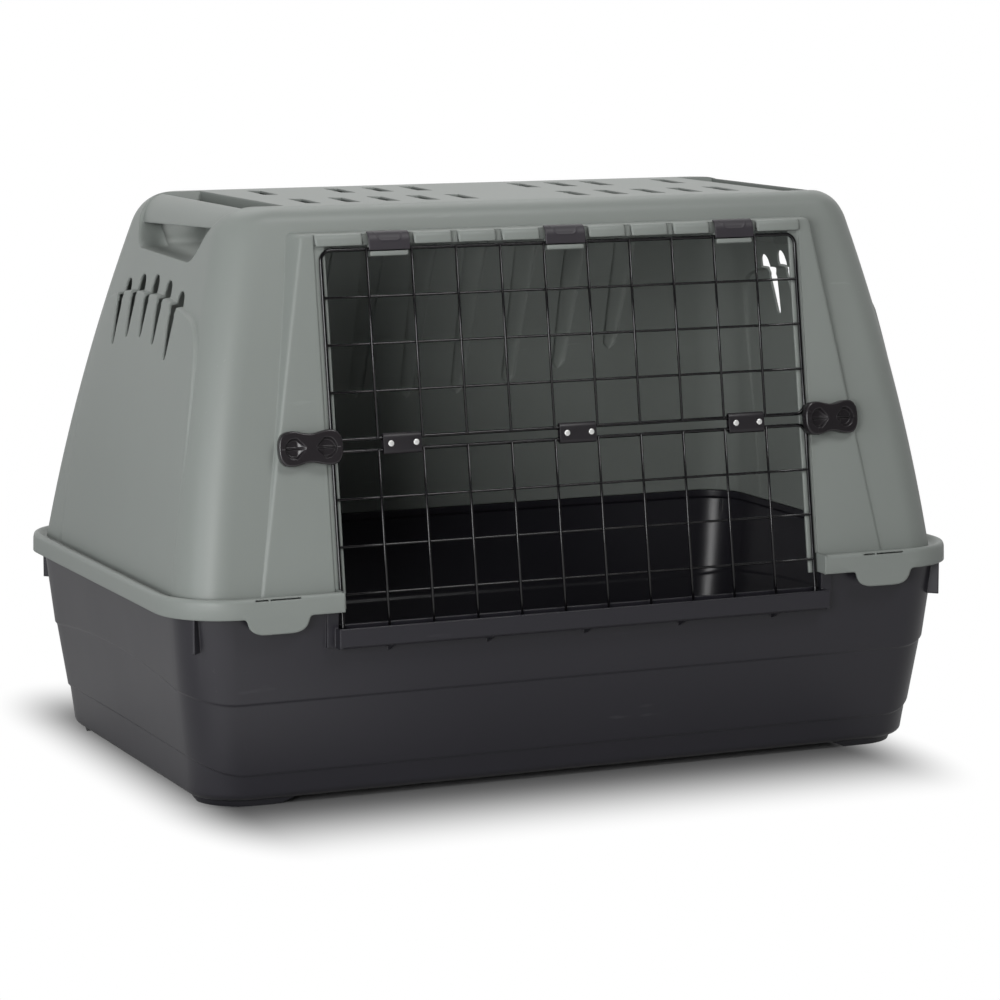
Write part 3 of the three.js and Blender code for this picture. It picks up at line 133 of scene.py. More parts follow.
def smooth_step(value: Points | float, low: float, high: float) -> Points | float:
    """Rise smoothly from 0 at low to 1 at high."""
    t = np.clip((value - low) / (high - low), 0, 1)
    return t * t * (3 - 2 * t)


@dataclass(frozen=True)
class Section:
    """A rounded rectangle at one height, given by its reach from the middle."""

    z: float
    x: float
    front: float
    back: float
    radius: float
    bow: float = 0.0

    def ring(self, steps: int = 12, side_points: int = 14, rise: Callable | None = None) -> Points:
        """Points of the rounded rectangle, counter-clockwise from above.

        Args:
            steps: Segments on each corner.
            side_points: Points between the corners on each of the two ends.
            rise: How far the ends stand further out, as a function of Y.

        Returns:
            One row of X, Y and Z for each point.
        """
        r = self.radius
        corners = [
            (self.x - r, self.back - r, 0),
            (r - self.x, self.back - r, 1),
            (r - self.x, r - self.front, 2),
            (self.x - r, r - self.front, 3),
        ]
        runs = []
        for cx, cy, quarter in corners:
            angle = (quarter + np.arange(steps + 1) / steps) * math.pi / 2
            runs.append(np.stack([cx + r * np.cos(angle), cy + r * np.sin(angle)], 1))
        shares = np.arange(1, side_points + 1)[:, None] / (side_points + 1)
        left = runs[1][-1] + (runs[2][0] - runs[1][-1]) * shares
        right = runs[3][-1] + (runs[0][0] - runs[3][-1]) * shares
        flat = np.concatenate([runs[0], runs[1], left, runs[2], runs[3], right])
        ring = np.column_stack([flat, np.full(len(flat), self.z)])
        outward = np.zeros(len(ring)) if rise is None else rise(ring[:, 1])
        if self.bow:
            away = np.minimum(np.abs(ring[:, 1] - self.middle) / (self.half - r), 1)
            outward = outward + self.bow * (1 - away**4)
        ring[:, 0] += np.sign(ring[:, 0]) * outward
        return ring

    @property
    def middle(self) -> float:
        """Y of the middle between front and back."""
        return (self.back - self.front) / 2

    @property
    def half(self) -> float:
        """Half the distance between front and back."""
        return (self.back + self.front) / 2


# ---- closed bodies ------------------------------------------------------------------------


class Lie(Enum):
    """How a flat outline lies in the carrier, and the way it is carried."""

    ALONG = "outline in Y and Z, carried along X"
    ACROSS = "outline in X and Z, carried along Y"
    UPRIGHT = "outline in X and Y, carried up"
    DOOR = "outline out of the door and up its slope, carried along X"


class Solid:
    """A closed mesh in millimetres that can be joined, cut and trimmed."""

    def __init__(self, mesh: bpy.types.Mesh) -> None:
        """Take over a mesh."""
        self.mesh = mesh

    @classmethod
    def of(cls, points: Points, faces: Sequence[Sequence[int]]) -> "Solid":
        """Make a body from points and faces, and turn its faces outward.

        Args:
            points: The corners.
            faces: Numbers of each face's corners.

        Returns:
            The body.
        """
        mesh = bpy.data.meshes.new("body")
        mesh.from_pydata([tuple(point) for point in points], [], [list(map(int, face)) for face in faces])
        work = bmesh.new()
        work.from_mesh(mesh)
        if work.calc_volume(signed=True) < 0:
            bmesh.ops.reverse_faces(work, faces=work.faces)
        work.to_mesh(mesh)
        work.free()
        return cls(mesh)

    @classmethod
    def skin(cls, rings: Sequence[Points], closed: bool = False) -> "Solid":
        """Skin over rings of equal length.

        Args:
            rings: The rings, in order.
            closed: Whether the last ring meets the first; if not, flat caps close the ends.

        Returns:
            The closed body.
        """
        count = len(rings[0])
        step = np.arange(count)
        after = (step + 1) % count
        faces: list[Sequence[int]] = []
        for index in range(len(rings) if closed else len(rings) - 1):
            low, high = index * count, (index + 1) % len(rings) * count
            faces += np.stack([low + step, low + after, high + after, high + step], 1).tolist()
        if not closed:
            faces += [step[::-1], (len(rings) - 1) * count + step]
        return cls.of(np.concatenate(rings), faces)

    @classmethod
    def prism(cls, outline: Points, lie: Lie, start: float, end: float, rounding: float = 0) -> "Solid":
        """Carry a flat outline from one place to another.

        Args:
            outline: The outline's points.
            lie: How it lies in the carrier.
            start: Where the body starts.
            end: Where it ends.
            rounding: Radius of the edges round both of its ends.

        Returns:
            The body.
        """
        outline = np.array(outline, float)
        levels = [(start, 0.0), (end, 0.0)]
        if rounding:
            turns = [(1 - math.sin(a), 1 - math.cos(a)) for a in np.linspace(0, math.pi / 2, 5)]
            head = [(start + rounding * along, rounding * gone) for along, gone in reversed(turns)]
            tail = [(end - rounding * along, rounding * gone) for along, gone in turns]
            levels = head + tail
        rings = []
        for place, gone in levels:
            flat = inset(outline, gone) if gone else outline
            along = np.full(len(flat), place)
            if lie is Lie.ALONG:
                rings.append(np.column_stack([along, flat]))
            elif lie is Lie.ACROSS:
                rings.append(np.column_stack([flat[:, 0], along, flat[:, 1]]))
            elif lie is Lie.UPRIGHT:
                rings.append(np.column_stack([flat, along]))
            else:
                rings.append(DOOR.place(np.column_stack([along, flat[:, 1], flat[:, 0]])))
        return cls.skin(rings)

    @classmethod
    def block(cls, low: Sequence[float], high: Sequence[float]) -> "Solid":
        """A rectangular block between two corners."""
        outline = [(low[0], low[1]), (high[0], low[1]), (high[0], high[1]), (low[0], high[1])]
        return cls.prism(np.array(outline), Lie.UPRIGHT, low[2], high[2])

    @classmethod
    def union(cls, solids: Sequence["Solid"]) -> "Solid":
        """Join bodies into one.

        Args:
            solids: The bodies.

        Returns:
            The joined body.
        """
        joined = solids[0]
        for solid in solids[1:]:
            joined = joined + solid
        return joined

    def placed(self, place: Callable[[Points], Points]) -> "Solid":
        """The same body with its points passed through a function."""
        points = place(self.points())
        return Solid.of(points, [tuple(face.vertices) for face in self.mesh.polygons])

    def mirrored(self) -> "Solid":
        """The same body at the other end of the carrier."""
        return self.placed(lambda points: points * [-1, 1, 1])

    def both_ends(self) -> "Solid":
        """This body and its mirror image as one."""
        return self + self.mirrored()

    def points(self) -> Points:
        """Coordinates of the mesh's vertices.

        Returns:
            A row for each vertex.
        """
        flat = np.empty(3 * len(self.mesh.vertices), np.float32)
        self.mesh.vertices.foreach_get("co", flat)
        return flat.reshape(-1, 3).astype(float)

    def __add__(self, other: "Solid") -> "Solid":
        """Join with another body."""
        return self._combined(other, "UNION")

    def __sub__(self, other: "Solid") -> "Solid":
        """Cut another body out of this one."""
        return self._combined(other, "DIFFERENCE")

    def __and__(self, other: "Solid") -> "Solid":
        """Keep what lies in both bodies."""
        return self._combined(other, "INTERSECT")

    def _combined(self, other: "Solid", operation: str) -> "Solid":
        """Combine two bodies with a Boolean modifier.

        Args:
            other: The second body.
            operation: The modifier's operation.

        Returns:
            The combined body.

        Raises:
            ValueError: If the result is empty or isn't closed.
        """
        pair = [bpy.data.objects.new("body", solid.mesh) for solid in (self, other)]
        for item in pair:
            bpy.context.scene.collection.objects.link(item)
        modifier = pair[0].modifiers.new("combine", "BOOLEAN")
        modifier.operation = operation
        modifier.object = pair[1]
        modifier.solver = "MANIFOLD"
        graph = bpy.context.evaluated_depsgraph_get()
        mesh = bpy.data.meshes.new_from_object(pair[0].evaluated_get(graph))
        for item in pair:
            bpy.data.objects.remove(item)
        work = bmesh.new()
        work.from_mesh(mesh)
        open_edges = sum(len(edge.link_faces) != 2 for edge in work.edges)
        count = len(work.faces)
        work.free()
        if open_edges or not count:
            raise ValueError(f"{operation} gave {count} faces and {open_edges} open edges")
        return Solid(mesh)

    def shown(self, name: str, look: bpy.types.Material, crease: float = 32) -> bpy.types.Object:
        """Put the body into the scene, in metres.

        Args:
            name: Name of the piece.
            look: Its material.
            crease: Angle in degrees above which an edge stays sharp.

        Returns:
            The new object.
        """
        mesh = self.mesh
        mesh.name = name
        flat = (self.points() * MM).astype(np.float32).ravel()
        mesh.vertices.foreach_set("co", flat)
        mesh.materials.clear()
        mesh.materials.append(look)
        mesh.shade_smooth()
        mesh.set_sharp_from_angle(angle=math.radians(crease))
        mesh.update()
        piece = bpy.data.objects.new(name, mesh)
        bpy.context.scene.collection.objects.link(piece)
        return piece

    def stand_for(
        self, node: str, body: str, slot: str, name: str, look: bpy.types.Material, crease: float = 32
    ) -> None:
        """Show the body in place of a plain solid and report it.

        Args:
            node: The plain solid that it replaces.
            body: The moving body that it rides on.
            slot: Not used.
            name: Name of the piece.
            look: Its material.
            crease: Angle in degrees above which an edge stays sharp.
        """
        piece = self.shown(name, look, crease)
        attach(piece, body)
        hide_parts(node)
        LOG.info("%s: %d faces", name, len(piece.data.polygons))


def lathe(profile: Sequence[Sequence[float]], sides: int) -> Solid:
    """Turn a profile of radius and height round the Z axis; it starts and ends off the axis.

    Args:
        profile: Pairs of radius and height.
        sides: Number of sides.

    Returns:
        The turned body.
    """
    angles = np.arange(sides) * 2 * math.pi / sides
    rings = [
        np.column_stack([radius * np.cos(angles), radius * np.sin(angles), np.full(sides, height)])
        for radius, height in profile
    ]
    return Solid.skin(rings)


# ---- overall sizes and the door's plane ---------------------------------------------------


@dataclass(frozen=True)
class Envelope:
    """Overall sizes that the mouldings share."""

    length: float = 1000.0
    width: float = 610.0
    height: float = 666.0
    wall: float = 3.0
    fit: float = 0.3
    skirt_bottom: float = 223.0
    crest: float = 246.0
    ledge: float = 239.5
    front_top: float = 118.5
    back_top: float = 155.0
    rim_radius: float = 79.0

    @property
    def half_length(self) -> float:
        """Half the length over the rim."""
        return self.length / 2

    @property
    def half_width(self) -> float:
        """Half the width over the rim."""
        return self.width / 2

    @property
    def roof_middle(self) -> float:
        """Y of the middle of the roof."""
        return (self.front_top - self.back_top) / 2


@dataclass(frozen=True)
class DoorPlane:
    """The leaning plane of the door: x across, y up its slope from the hinge wire, z out."""

    top_y: float = -224.7
    top_z: float = 619.3
    bottom_y: float = -290.6
    bottom_z: float = 186.2
    half: float = 300.3
    columns: int = 11
    rows: int = 4
    fold_gap: float = 13.3
    frame_radius: float = 2.1
    grid_radius: float = 1.5
    clip_cells: tuple[int, ...] = (1, 5, 9)

    @property
    def lean(self) -> float:
        """Angle by which the door leans back."""
        return math.atan2(self.top_y - self.bottom_y, self.top_z - self.bottom_z)

    @property
    def height(self) -> float:
        """Length of the whole door, down its slope."""
        return math.hypot(self.top_y - self.bottom_y, self.top_z - self.bottom_z)

    @property
    def panel_height(self) -> float:
        """Height of one panel between its level frame wires."""
        return (self.height - self.fold_gap) / 2

    @property
    def fold_middle(self) -> float:
        """Distance from the hinge wire down to the middle of the fold."""
        return self.panel_height + self.fold_gap / 2

    @property
    def pitch(self) -> float:
        """Distance between upright wires."""
        return 2 * self.half / self.columns

    @property
    def seat(self) -> float:
        """Face behind the door's frame, out of the door's plane."""
        return -self.frame_radius - SIZE.fit

    def place(self, points: Points) -> Points:
        """Bring points from the door's own frame into the carrier's.

        Args:
            points: Points as X, distance up the slope, distance out of it.

        Returns:
            The same points in the carrier's frame.
        """
        sine, cosine = math.sin(self.lean), math.cos(self.lean)
        turn = np.array([[1, 0, 0], [0, sine, cosine], [0, -cosine, sine]])
        return np.asarray(points, float) @ turn + [0, self.top_y, self.top_z]

    def placing(self, x: float, slope: float) -> Callable[[Points], Points]:
        """Function that brings points round a place in the door's frame into the carrier's."""
        return lambda points: self.place(points + [x, slope, 0])

    def y_at(self, height: float, proud: float) -> float:
        """Y of the plane at a height above the floor, proud of the door's plane.

        Args:
            height: Height above the floor.
            proud: Distance out of the plane.

        Returns:
            The Y.
        """
        sine, cosine = math.sin(self.lean), math.cos(self.lean)
        slope = (height - self.top_z - proud * sine) / cosine
        return self.top_y + slope * sine - proud * cosine

    def slope_at(self, height: float) -> float:
        """Place on the slope for a height above the floor."""
        return (height - self.top_z) / math.cos(self.lean)

    def cell_middle(self, cell: int) -> float:
        """X of the middle of one of the door's openings, counted from the left."""
        return (cell + 0.5) * self.pitch - self.half

    def block(self, low: Sequence[float], high: Sequence[float]) -> Solid:
        """A rectangular block in the door's frame."""
        return Solid.block(low, high).placed(self.place)


SIZE = Envelope()
DOOR = DoorPlane()


# ---- shader nodes -------------------------------------------------------------------------


class Signal:
    """A socket of a material, with arithmetic that adds Math nodes."""

    def __init__(self, graph: "Graph", socket: bpy.types.NodeSocket) -> None:
        """Wrap a node's output."""
        self.graph = graph
        self.socket = socket

    def _math(self, operation: str, first: "Signal | float", second: "Signal | float") -> "Signal":
        """Add a Math node for an operation on two values."""
        return self.graph.add("ShaderNodeMath", {"operation": operation}, {0: first, 1: second})

    def __add__(self, other: "Signal | float") -> "Signal":
        """Add a value."""
        return self._math("ADD", self, other)

    __radd__ = __add__

    def __mul__(self, other: "Signal | float") -> "Signal":
        """Multiply by a value."""
        return self._math("MULTIPLY", self, other)

    __rmul__ = __mul__

    def __sub__(self, other: "Signal | float") -> "Signal":
        """Take a value away."""
        return self._math("SUBTRACT", self, other)

    def __rsub__(self, other: float) -> "Signal":
        """Take this away from a number."""
        return self._math("SUBTRACT", other, self)

    def output(self, name: str) -> "Signal":
        """Another output of the same node."""
        return Signal(self.graph, self.socket.node.outputs[name])


class Graph:
    """The node tree of one material or of the world."""

    def __init__(self, owner: bpy.types.Material | bpy.types.World) -> None:
        """Empty the tree of a material or world.

        Args:
            owner: The material or world.
        """
        owner.use_nodes = True
        self.owner = owner
        self.tree = owner.node_tree
        self.tree.nodes.clear()
        self.place = self.add("ShaderNodeTexCoord").output("Object")

    @classmethod
    def named(cls, name: str) -> "Graph":
        """Start a new material."""
        return cls(bpy.data.materials.new(name))

    def add(self, kind: str, settings: dict | None = None, values: dict | None = None) -> Signal:
        """Add a node.

        Args:
            kind: Type of the node.
            settings: Its settings, set first, such as a Math node's operation.
            values: Numbers or links for its input sockets, by name or index.

        Returns:
            Its first output.
        """
        node = self.tree.nodes.new(kind)
        for key, value in (settings or {}).items():
            setattr(node, key, value)
        for key, value in (values or {}).items():
            if isinstance(value, Signal):
                self.tree.links.new(value.socket, node.inputs[key])
            else:
                node.inputs[key].default_value = value
        return Signal(self, next(out for out in node.outputs if out.enabled) if node.outputs else None)

    def axis(self, name: str) -> Signal:
        """One coordinate of the place."""
        return self.add("ShaderNodeSeparateXYZ", None, {0: self.place}).output(name)

    def noise(self, size: float, detail: float = 2, stretch: Shade = (1, 1, 1), **more: float) -> Signal:
        """Noise with features of about this size in millimetres, stretched along the axes.

        Args:
            size: Size of the features.
            detail: Detail of the noise.
            stretch: Stretch along each axis.
            more: Values of further sockets.

        Returns:
            Values round 0.5.
        """
        scale = tuple(1 / (MM * size * way) for way in stretch)
        where = self.add("ShaderNodeMapping", {"vector_type": "POINT"}, {"Vector": self.place, "Scale": scale})
        values = {"Vector": where, "Scale": 1.0, "Detail": detail, **more}
        return self.add("ShaderNodeTexNoise", {"noise_dimensions": "3D"}, values)

    def between(self, value: Signal, low: float, high: float) -> Signal:
        """Map a value smoothly to 0 below low and 1 above high."""
        settings = {"interpolation_type": "SMOOTHSTEP", "clamp": True}
        return self.add("ShaderNodeMapRange", settings, {0: value, 1: low, 2: high})

    def mix(self, factor: Signal | float, first: Signal | Shade, second: Signal | Shade) -> Signal:
        """Blend two colours.

        Args:
            factor: Share of the second colour.
            first: The first.
            second: The second.

        Returns:
            The blend.
        """
        colours = [value if isinstance(value, Signal) else (*value, 1) for value in (first, second)]
        values = {0: factor, 6: colours[0], 7: colours[1]}
        return self.add("ShaderNodeMix", {"data_type": "RGBA"}, values)

    def soft_edge(self, radius: float) -> Signal:
        """Normal that rounds edges by a radius in millimetres."""
        return self.add("ShaderNodeBevel", {"samples": 6}, {"Radius": radius * MM})

    def edges(self, soft: Signal) -> Signal:
        """How close a point lies to an edge, from a normal that rounds edges.

        Args:
            soft: The normal that rounds edges.

        Returns:
            0 away from edges, more near them.
        """
        plain = self.add("ShaderNodeNewGeometry").output("Normal")
        along = self.add("ShaderNodeVectorMath", {"operation": "DOT_PRODUCT"}, {0: plain, 1: soft})
        return 1.0 - along.output("Value")

    def openness(self, reach: float) -> Signal:
        """How open a point lies within a reach in millimetres: 0 in a tight hollow, 1 in the open."""
        return self.add("ShaderNodeAmbientOcclusion", {"samples": 8}, {"Distance": reach * MM}).output("AO")

    def bump(self, height: Signal, depth: float, under: Signal | None = None) -> Signal:
        """Bump of a depth in millimetres, on top of another normal.

        Args:
            height: Height from 0 to 1.
            depth: Depth of a height of 1.
            under: The other normal.

        Returns:
            The bumped normal.
        """
        values = {"Height": height, "Strength": 1.0, "Distance": depth * MM}
        if under is not None:
            values["Normal"] = under
        return self.add("ShaderNodeBump", None, values)

    def finish(self, **values: Signal | float | tuple) -> bpy.types.Material:
        """Close the material with a Principled shader; names are its sockets with _ for spaces.

        Args:
            values: Values or links of the sockets.

        Returns:
            The material.
        """
        sockets = {key.replace("_", " "): value for key, value in values.items()}
        shader = self.add("ShaderNodeBsdfPrincipled", None, sockets)
        self.add("ShaderNodeOutputMaterial", None, {"Surface": shader})
        return self.owner


# ---- finishes -----------------------------------------------------------------------------


def scaled(colour: Shade, share: float) -> Shade:
    """A colour made darker or paler."""
    return tuple(share * value for value in colour)


@dataclass(frozen=True)
class MouldedPlastic:
    """Injection-moulded plastic with a fine grain, faint flow marks, scuffs, worn edges and painted shade in its
    hollows.
    """

    name: str
    colour: Shade
    roughness: float
    grain: float = 0.9
    grain_depth: float = 0.012
    edge: float = 2.5
    wear: float = 0.25
    scuffs: float = 0.06
    sheen_spread: float = 0.06
    specular: float = 0.5
    waves: float = 0.25
    # Painted shade in hollows: how far the occlusion looks, and the share of the colour it darkens to.
    painted_shade_reach: float = 60
    painted_shade_tone: float = 0.45
    cloud: float = 170
    shade: float = 0.045
    scratch: float = 2.4
    scratch_stretch: Shade = (34, 1, 5)
    patch: float = 95
    swell: float = 60

    def material(self) -> bpy.types.Material:
        """Make the material.

        Returns:
            The material.
        """
        graph = Graph.named(self.name)
        soft = graph.soft_edge(self.edge)
        worn = graph.between(graph.edges(soft), 0.02, 0.25)
        broad = graph.noise(self.cloud, 3)
        speckle = graph.noise(self.grain, 2, Roughness=0.6)
        tone = graph.mix(broad, scaled(self.colour, 1 - self.shade), scaled(self.colour, 1 + self.shade))
        scratch = graph.noise(self.scratch, 2, self.scratch_stretch, Roughness=0.55)
        patch = graph.between(graph.noise(self.patch, 3), 0.52, 0.68)
        marks = graph.between(scratch, 0.66, 0.74) * patch
        rubbed = tuple(min(1.0, value * 1.25 + 0.035) for value in self.colour)
        tone = graph.mix(marks * self.scuffs * 6, tone, rubbed)
        tone = graph.mix(worn * self.wear, tone, rubbed)
        tone = graph.mix(graph.between(speckle, 0.3, 0.7) * 0.05, tone, rubbed)
        # Painted shade: the base colour is darkened in hollows and deep recesses, found by ambient occlusion.
        painted_hollow_shade = 1.0 - graph.between(graph.openness(self.painted_shade_reach), 0.05, 0.55)
        tone = graph.mix(painted_hollow_shade, tone, scaled(self.colour, self.painted_shade_tone))
        rough = (broad - 0.5) * self.sheen_spread + self.roughness + marks * 0.12
        swell = graph.noise(self.swell, 1)
        relief = speckle * self.grain_depth + swell * self.waves - marks * 0.02
        normal = graph.bump(relief, 1.0, soft)
        return graph.finish(
            Base_Color=tone,
            Roughness=rough,
            Normal=normal,
            Specular_IOR_Level=self.specular,
        )


@dataclass(frozen=True)
class CoatedSteel:
    """Steel under a glossy black coat that is a little uneven and thin at its edges."""

    name: str
    colour: Shade
    roughness: float
    orange_peel: float = 0.03
    edge: float = 0.35
    specks: float = 0.05
    bare: Shade = (0.16, 0.155, 0.16)

    def material(self) -> bpy.types.Material:
        """Make the material.

        Returns:
            The material.
        """
        graph = Graph.named(self.name)
        soft = graph.soft_edge(self.edge)
        peel = graph.noise(1.6, 2)
        cloud = graph.noise(35, 3)
        tone = graph.mix(cloud, scaled(self.colour, 0.8), scaled(self.colour, 1.3))
        spots = graph.between(graph.noise(3.0, 3), 0.7, 0.78)
        tone = graph.mix(spots * self.specks, tone, self.bare)
        rough = (cloud - 0.5) * 0.1 + self.roughness
        normal = graph.bump(peel * self.orange_peel, 1.0, soft)
        return graph.finish(Base_Color=tone, Roughness=rough, Normal=normal, Metallic=0.0, Coat_Roughness=0.1)


@dataclass(frozen=True)
class BrightMetal:
    """Bright rivet metal, a little cloudy and with small dents."""

    name: str
    colour: Shade
    roughness: float

    def material(self) -> bpy.types.Material:
        """Make the material.

        Returns:
            The material.
        """
        graph = Graph.named(self.name)
        dents = graph.noise(0.8, 2)
        cloud = graph.noise(3, 2)
        tone = graph.mix(cloud, scaled(self.colour, 0.86), self.colour)
        rough = (dents - 0.5) * 0.16 + self.roughness
        normal = graph.bump(dents * 0.02, 1.0, graph.soft_edge(0.4))
        return graph.finish(Base_Color=tone, Roughness=rough, Normal=normal, Metallic=0.3)


class Finishes:
    """Every material of the carrier, by the piece it dresses."""

    def __init__(self) -> None:
        """Make the materials."""
        plastic, steel = MouldedPlastic, CoatedSteel
        self.shell = plastic("shell_satin", (0.246, 0.266, 0.250), 0.42, edge=3.0, specular=0.35).material()
        self.tub = plastic("tub_charcoal", (0.018, 0.017, 0.0225), 0.34, wear=0.1, grain_depth=0.008).material()
        small = {"grain": 0.6, "waves": 0.03}
        self.clip = plastic("clip_satin", (0.029, 0.025, 0.031), 0.48, edge=0.8, wear=0.2, **small).material()
        self.latch = plastic("latch_gloss", (0.019, 0.0165, 0.0185), 0.27, edge=0.7, wear=0.16, **small).material()
        self.wire = steel("wire_coat", (0.004, 0.0037, 0.0045), 0.17, orange_peel=0.01).material()
        sheet = steel("joint_sheet_coat", (0.016, 0.014, 0.0165), 0.42, orange_peel=0.05, specks=0.35)
        self.sheet = sheet.material()
        self.rivet = BrightMetal("rivet_metal", (0.92, 0.92, 0.90), 0.3).material()


# ---- shell --------------------------------------------------------------------------------


@dataclass
class Shell:
    """The upper moulding: rim, leaning walls, roof, door surround, handles, vents and snaps."""

    skirt_edge: Curve = ((0, 0.7), (0.25, 0.25), (0.8, 0))
    crest_rise: Curve = ((-6, 0.4), (-4, 0.8), (-2.4, 1.3), (-1.2, 2), (-0.4, 3.2))
    crest_fall: Curve = ((0, 0), (-0.15, 1), (-0.6, 2), (-2.6, 5))
    crest_inset: float = 5
    gutter_inset: float = 15
    tab_reach: float = 18.5
    tab_width: float = 72
    tab_inset: float = 117
    tab_slot: float = 1.6
    tab_slot_drop: float = 3
    tab_slot_parts: Curve = ((0, 0.29), (0.33, 1))
    tab_slot_length: float = 54
    gutter_hole: float = 5
    gutter_hole_spread: float = 322
    end_base: float = 19.3
    front_base: float = 25.7
    back_base: float = 19.5
    end_top: float = 105
    end_swell: float = 8.4
    side_swell: float = 7
    end_bow: float = 4.5
    wall_radius: float = 50
    roof_radius: float = 45
    end_rounding: float = 34
    wall_steps: int = 18
    turn_steps: int = 14
    side_rounding: float = 16
    corner_shrink: float = 0.6
    pad_rise: float = 8.6
    pad_foot: float = 1
    pad_fade: float = 0.6
    pad_top: float = 560
    pad_shoulder: float = 520
    pad_half_top: float = 92
    pad_half_shoulder: float = 168
    pad_half_base: float = 203
    pad_centre: float = -18
    pad_rounding: float = 2.5
    pad_edge: Curve = ((-1.0, -0.3), (0, 0), (0.14, 0.4), (0.35, 0.72), (0.62, 0.92), (1, 1.02))
    pad_straight: float = 120
    pad_turn: float = 12
    pad_lift: float = 20
    pad_fall: float = 8
    vent_pitch: float = 46.5
    vent_count: int = 5
    vent_top: float = 581
    vent_bottom: float = 508
    vent_width: float = 24
    vent_tail: float = 20
    vent_tip: float = 9
    vent_neck: float = 0.36
    vent_drop: float = 2.8
    vent_tail_drop: float = 4.3
    handle_bottom: float = 603
    handle_half_low: float = 95
    handle_half_roof: float = 140
    handle_depth: float = 76
    pocket_spread: float = 14
    mouth_depth: float = 18
    mouth_corner: float = 16
    bar_depth: float = 27
    bar_inset: float = 7
    bar_drop: float = 1.5
    bar_bottom: float = 637
    handle_rounding: float = 26
    mouth_lean: float = 0.028
    bar_lean: float = -0.037
    bar_rounding: float = 9
    slot_width: float = 16
    slot_length: float = 77
    slot_pitch: float = 49.3
    slot_first: float = 72
    slot_slant: float = 6
    slot_skew: float = 4
    slot_corner: float = 4
    slot_count: int = 5
    slot_missing: int = 3
    slot_gap: float = 77
    surround_head: float = 19
    surround_half_top: float = 321.5
    surround_half_base: float = 394.5
    surround_flare: float = 0.3
    surround_rounding: float = 3
    surround_corner: float = 6
    rebate_depth: float = 1.2
    rebate_margin: float = 4.6
    lobe_rise: float = 5.8
    lobe_drop: float = 4.5
    lobe_face: float = 7.5
    lobe_shoulder: float = 12
    lobe_setback: float = 4.6
    lobe_rounding: float = 2.2
    lobe_groove: float = 8
    hook_width: float = 46
    hook_rounding: float = 0.8
    door_overlap: float = 6.5
    opening_corner: float = 3
    hook_drop: float = 8.2
    gutter_end: float = 2.2
    seat_height: float = 4.2
    seat_diameter: float = 30
    spindle_diameter: float = 10
    knob_offset: float = 28.7
    flute_pitch: float = 69.5
    flute_middle: float = -3
    flute_count: int = 9
    flute_depth: float = 4.4
    flute_top: float = 612
    flute_bottom: float = 386
    flute_lift: float = 53
    flute_reach: float = 275
    flute_half: float = 8.5
    flute_spread: float = 7.5
    flute_tip: float = 12
    flute_fade: float = 0.86
    latch_tilt: float = 6
    notch_margin: float = 1.6

    @property
    def surround_face(self) -> float:
        """Face of the door surround, out of the door's plane."""
        return DOOR.seat + self.rebate_depth

    @property
    def surround_inside(self) -> float:
        """Back of the wall behind the door's seat."""
        return DOOR.seat - SIZE.wall

    @staticmethod
    def edge_inset(radius: float, depth: float) -> float:
        """How far a rounded edge has drawn in at this depth below the surface it ends in."""
        return 0.0 if depth >= radius else radius - math.sqrt(radius**2 - (radius - depth) ** 2)

    def section(self, z: float, inward: float = 0) -> Section:
        """Section of the walls at one height; inward moves it into the wall.

        Args:
            z: The height.
            inward: Distance into the wall.

        Returns:
            The section.
        """
        t = (z - SIZE.ledge) / (SIZE.height - SIZE.ledge)
        middle = 4 * t * (1 - t)
        depth = SIZE.height - inward - z

        def along(base: float, top: float, swell: float, rounding: float) -> float:
            """Inset of one wall at this height."""
            drawn = self.edge_inset(rounding - inward, depth)
            return base + (top - base) * t - swell * middle + inward + drawn

        shrink = self.corner_shrink * self.edge_inset(self.end_rounding - inward, depth)
        radius = self.wall_radius + (self.roof_radius - self.wall_radius) * t - inward - shrink
        return Section(
            z,
            SIZE.half_length - along(self.end_base, self.end_top, self.end_swell, self.end_rounding),
            SIZE.half_width - along(self.front_base, SIZE.front_top, self.side_swell, self.side_rounding),
            SIZE.half_width - along(self.back_base, SIZE.back_top, self.side_swell, self.side_rounding),
            radius,
            self.end_bow * middle,
        )

    def end_x(self, y: Points, z: Points, inward: float = 0) -> Points:
        """X of the right end wall at places given by Y and Z.

        Args:
            y: Their Y.
            z: Their Z.
            inward: Distance into the wall.

        Returns:
            X of each place.
        """
        reach = []
        for place, height in zip(y, z):
            part = self.section(float(height), inward)
            away = abs(place - part.middle) / (part.half - part.radius)
            beyond = max(abs(place - part.middle) - (part.half - part.radius), 0)
            drawn = part.radius - math.sqrt(max(part.radius**2 - beyond**2, 0))
            reach.append(part.x + part.bow * (1 - min(away, 1) ** 4) - drawn)
        return np.array(reach)

    def rim(self, z: float, gone: float) -> Section:
        """Section of the rim at one height."""
        x, y = SIZE.half_length - gone, SIZE.half_width - gone
        return Section(z, x, y, y, SIZE.rim_radius - gone)

    def wall_heights(self, inward: float) -> list[float]:
        """Heights of the wall's sections, from the gutter to the roof.

        Args:
            inward: Distance into the wall.

        Returns:
            The heights, rising.
        """
        top = SIZE.height - inward
        radius = self.end_rounding - inward
        straight = top - radius
        walls = [SIZE.ledge + share * (straight - SIZE.ledge) for share in np.linspace(0, 1, self.wall_steps + 1)[:-1]]
        angles = np.linspace(0, math.pi / 2, self.turn_steps + 1)
        turns = [top - radius * (1 - math.sin(angle)) for angle in angles]
        return walls + turns

    def walls(self, inward: float, rise: Callable | None = None) -> list[Points]:
        """Rings of the walls and the roof's rounding.

        Args:
            inward: Distance into the wall.
            rise: Change of height over a ring.

        Returns:
            The rings, rising.
        """
        rings = []
        for z in self.wall_heights(inward):
            outward = None if rise is None else (lambda y, z=z: rise(y, z))
            rings.append(self.section(z, inward).ring(rise=outward))
        return rings

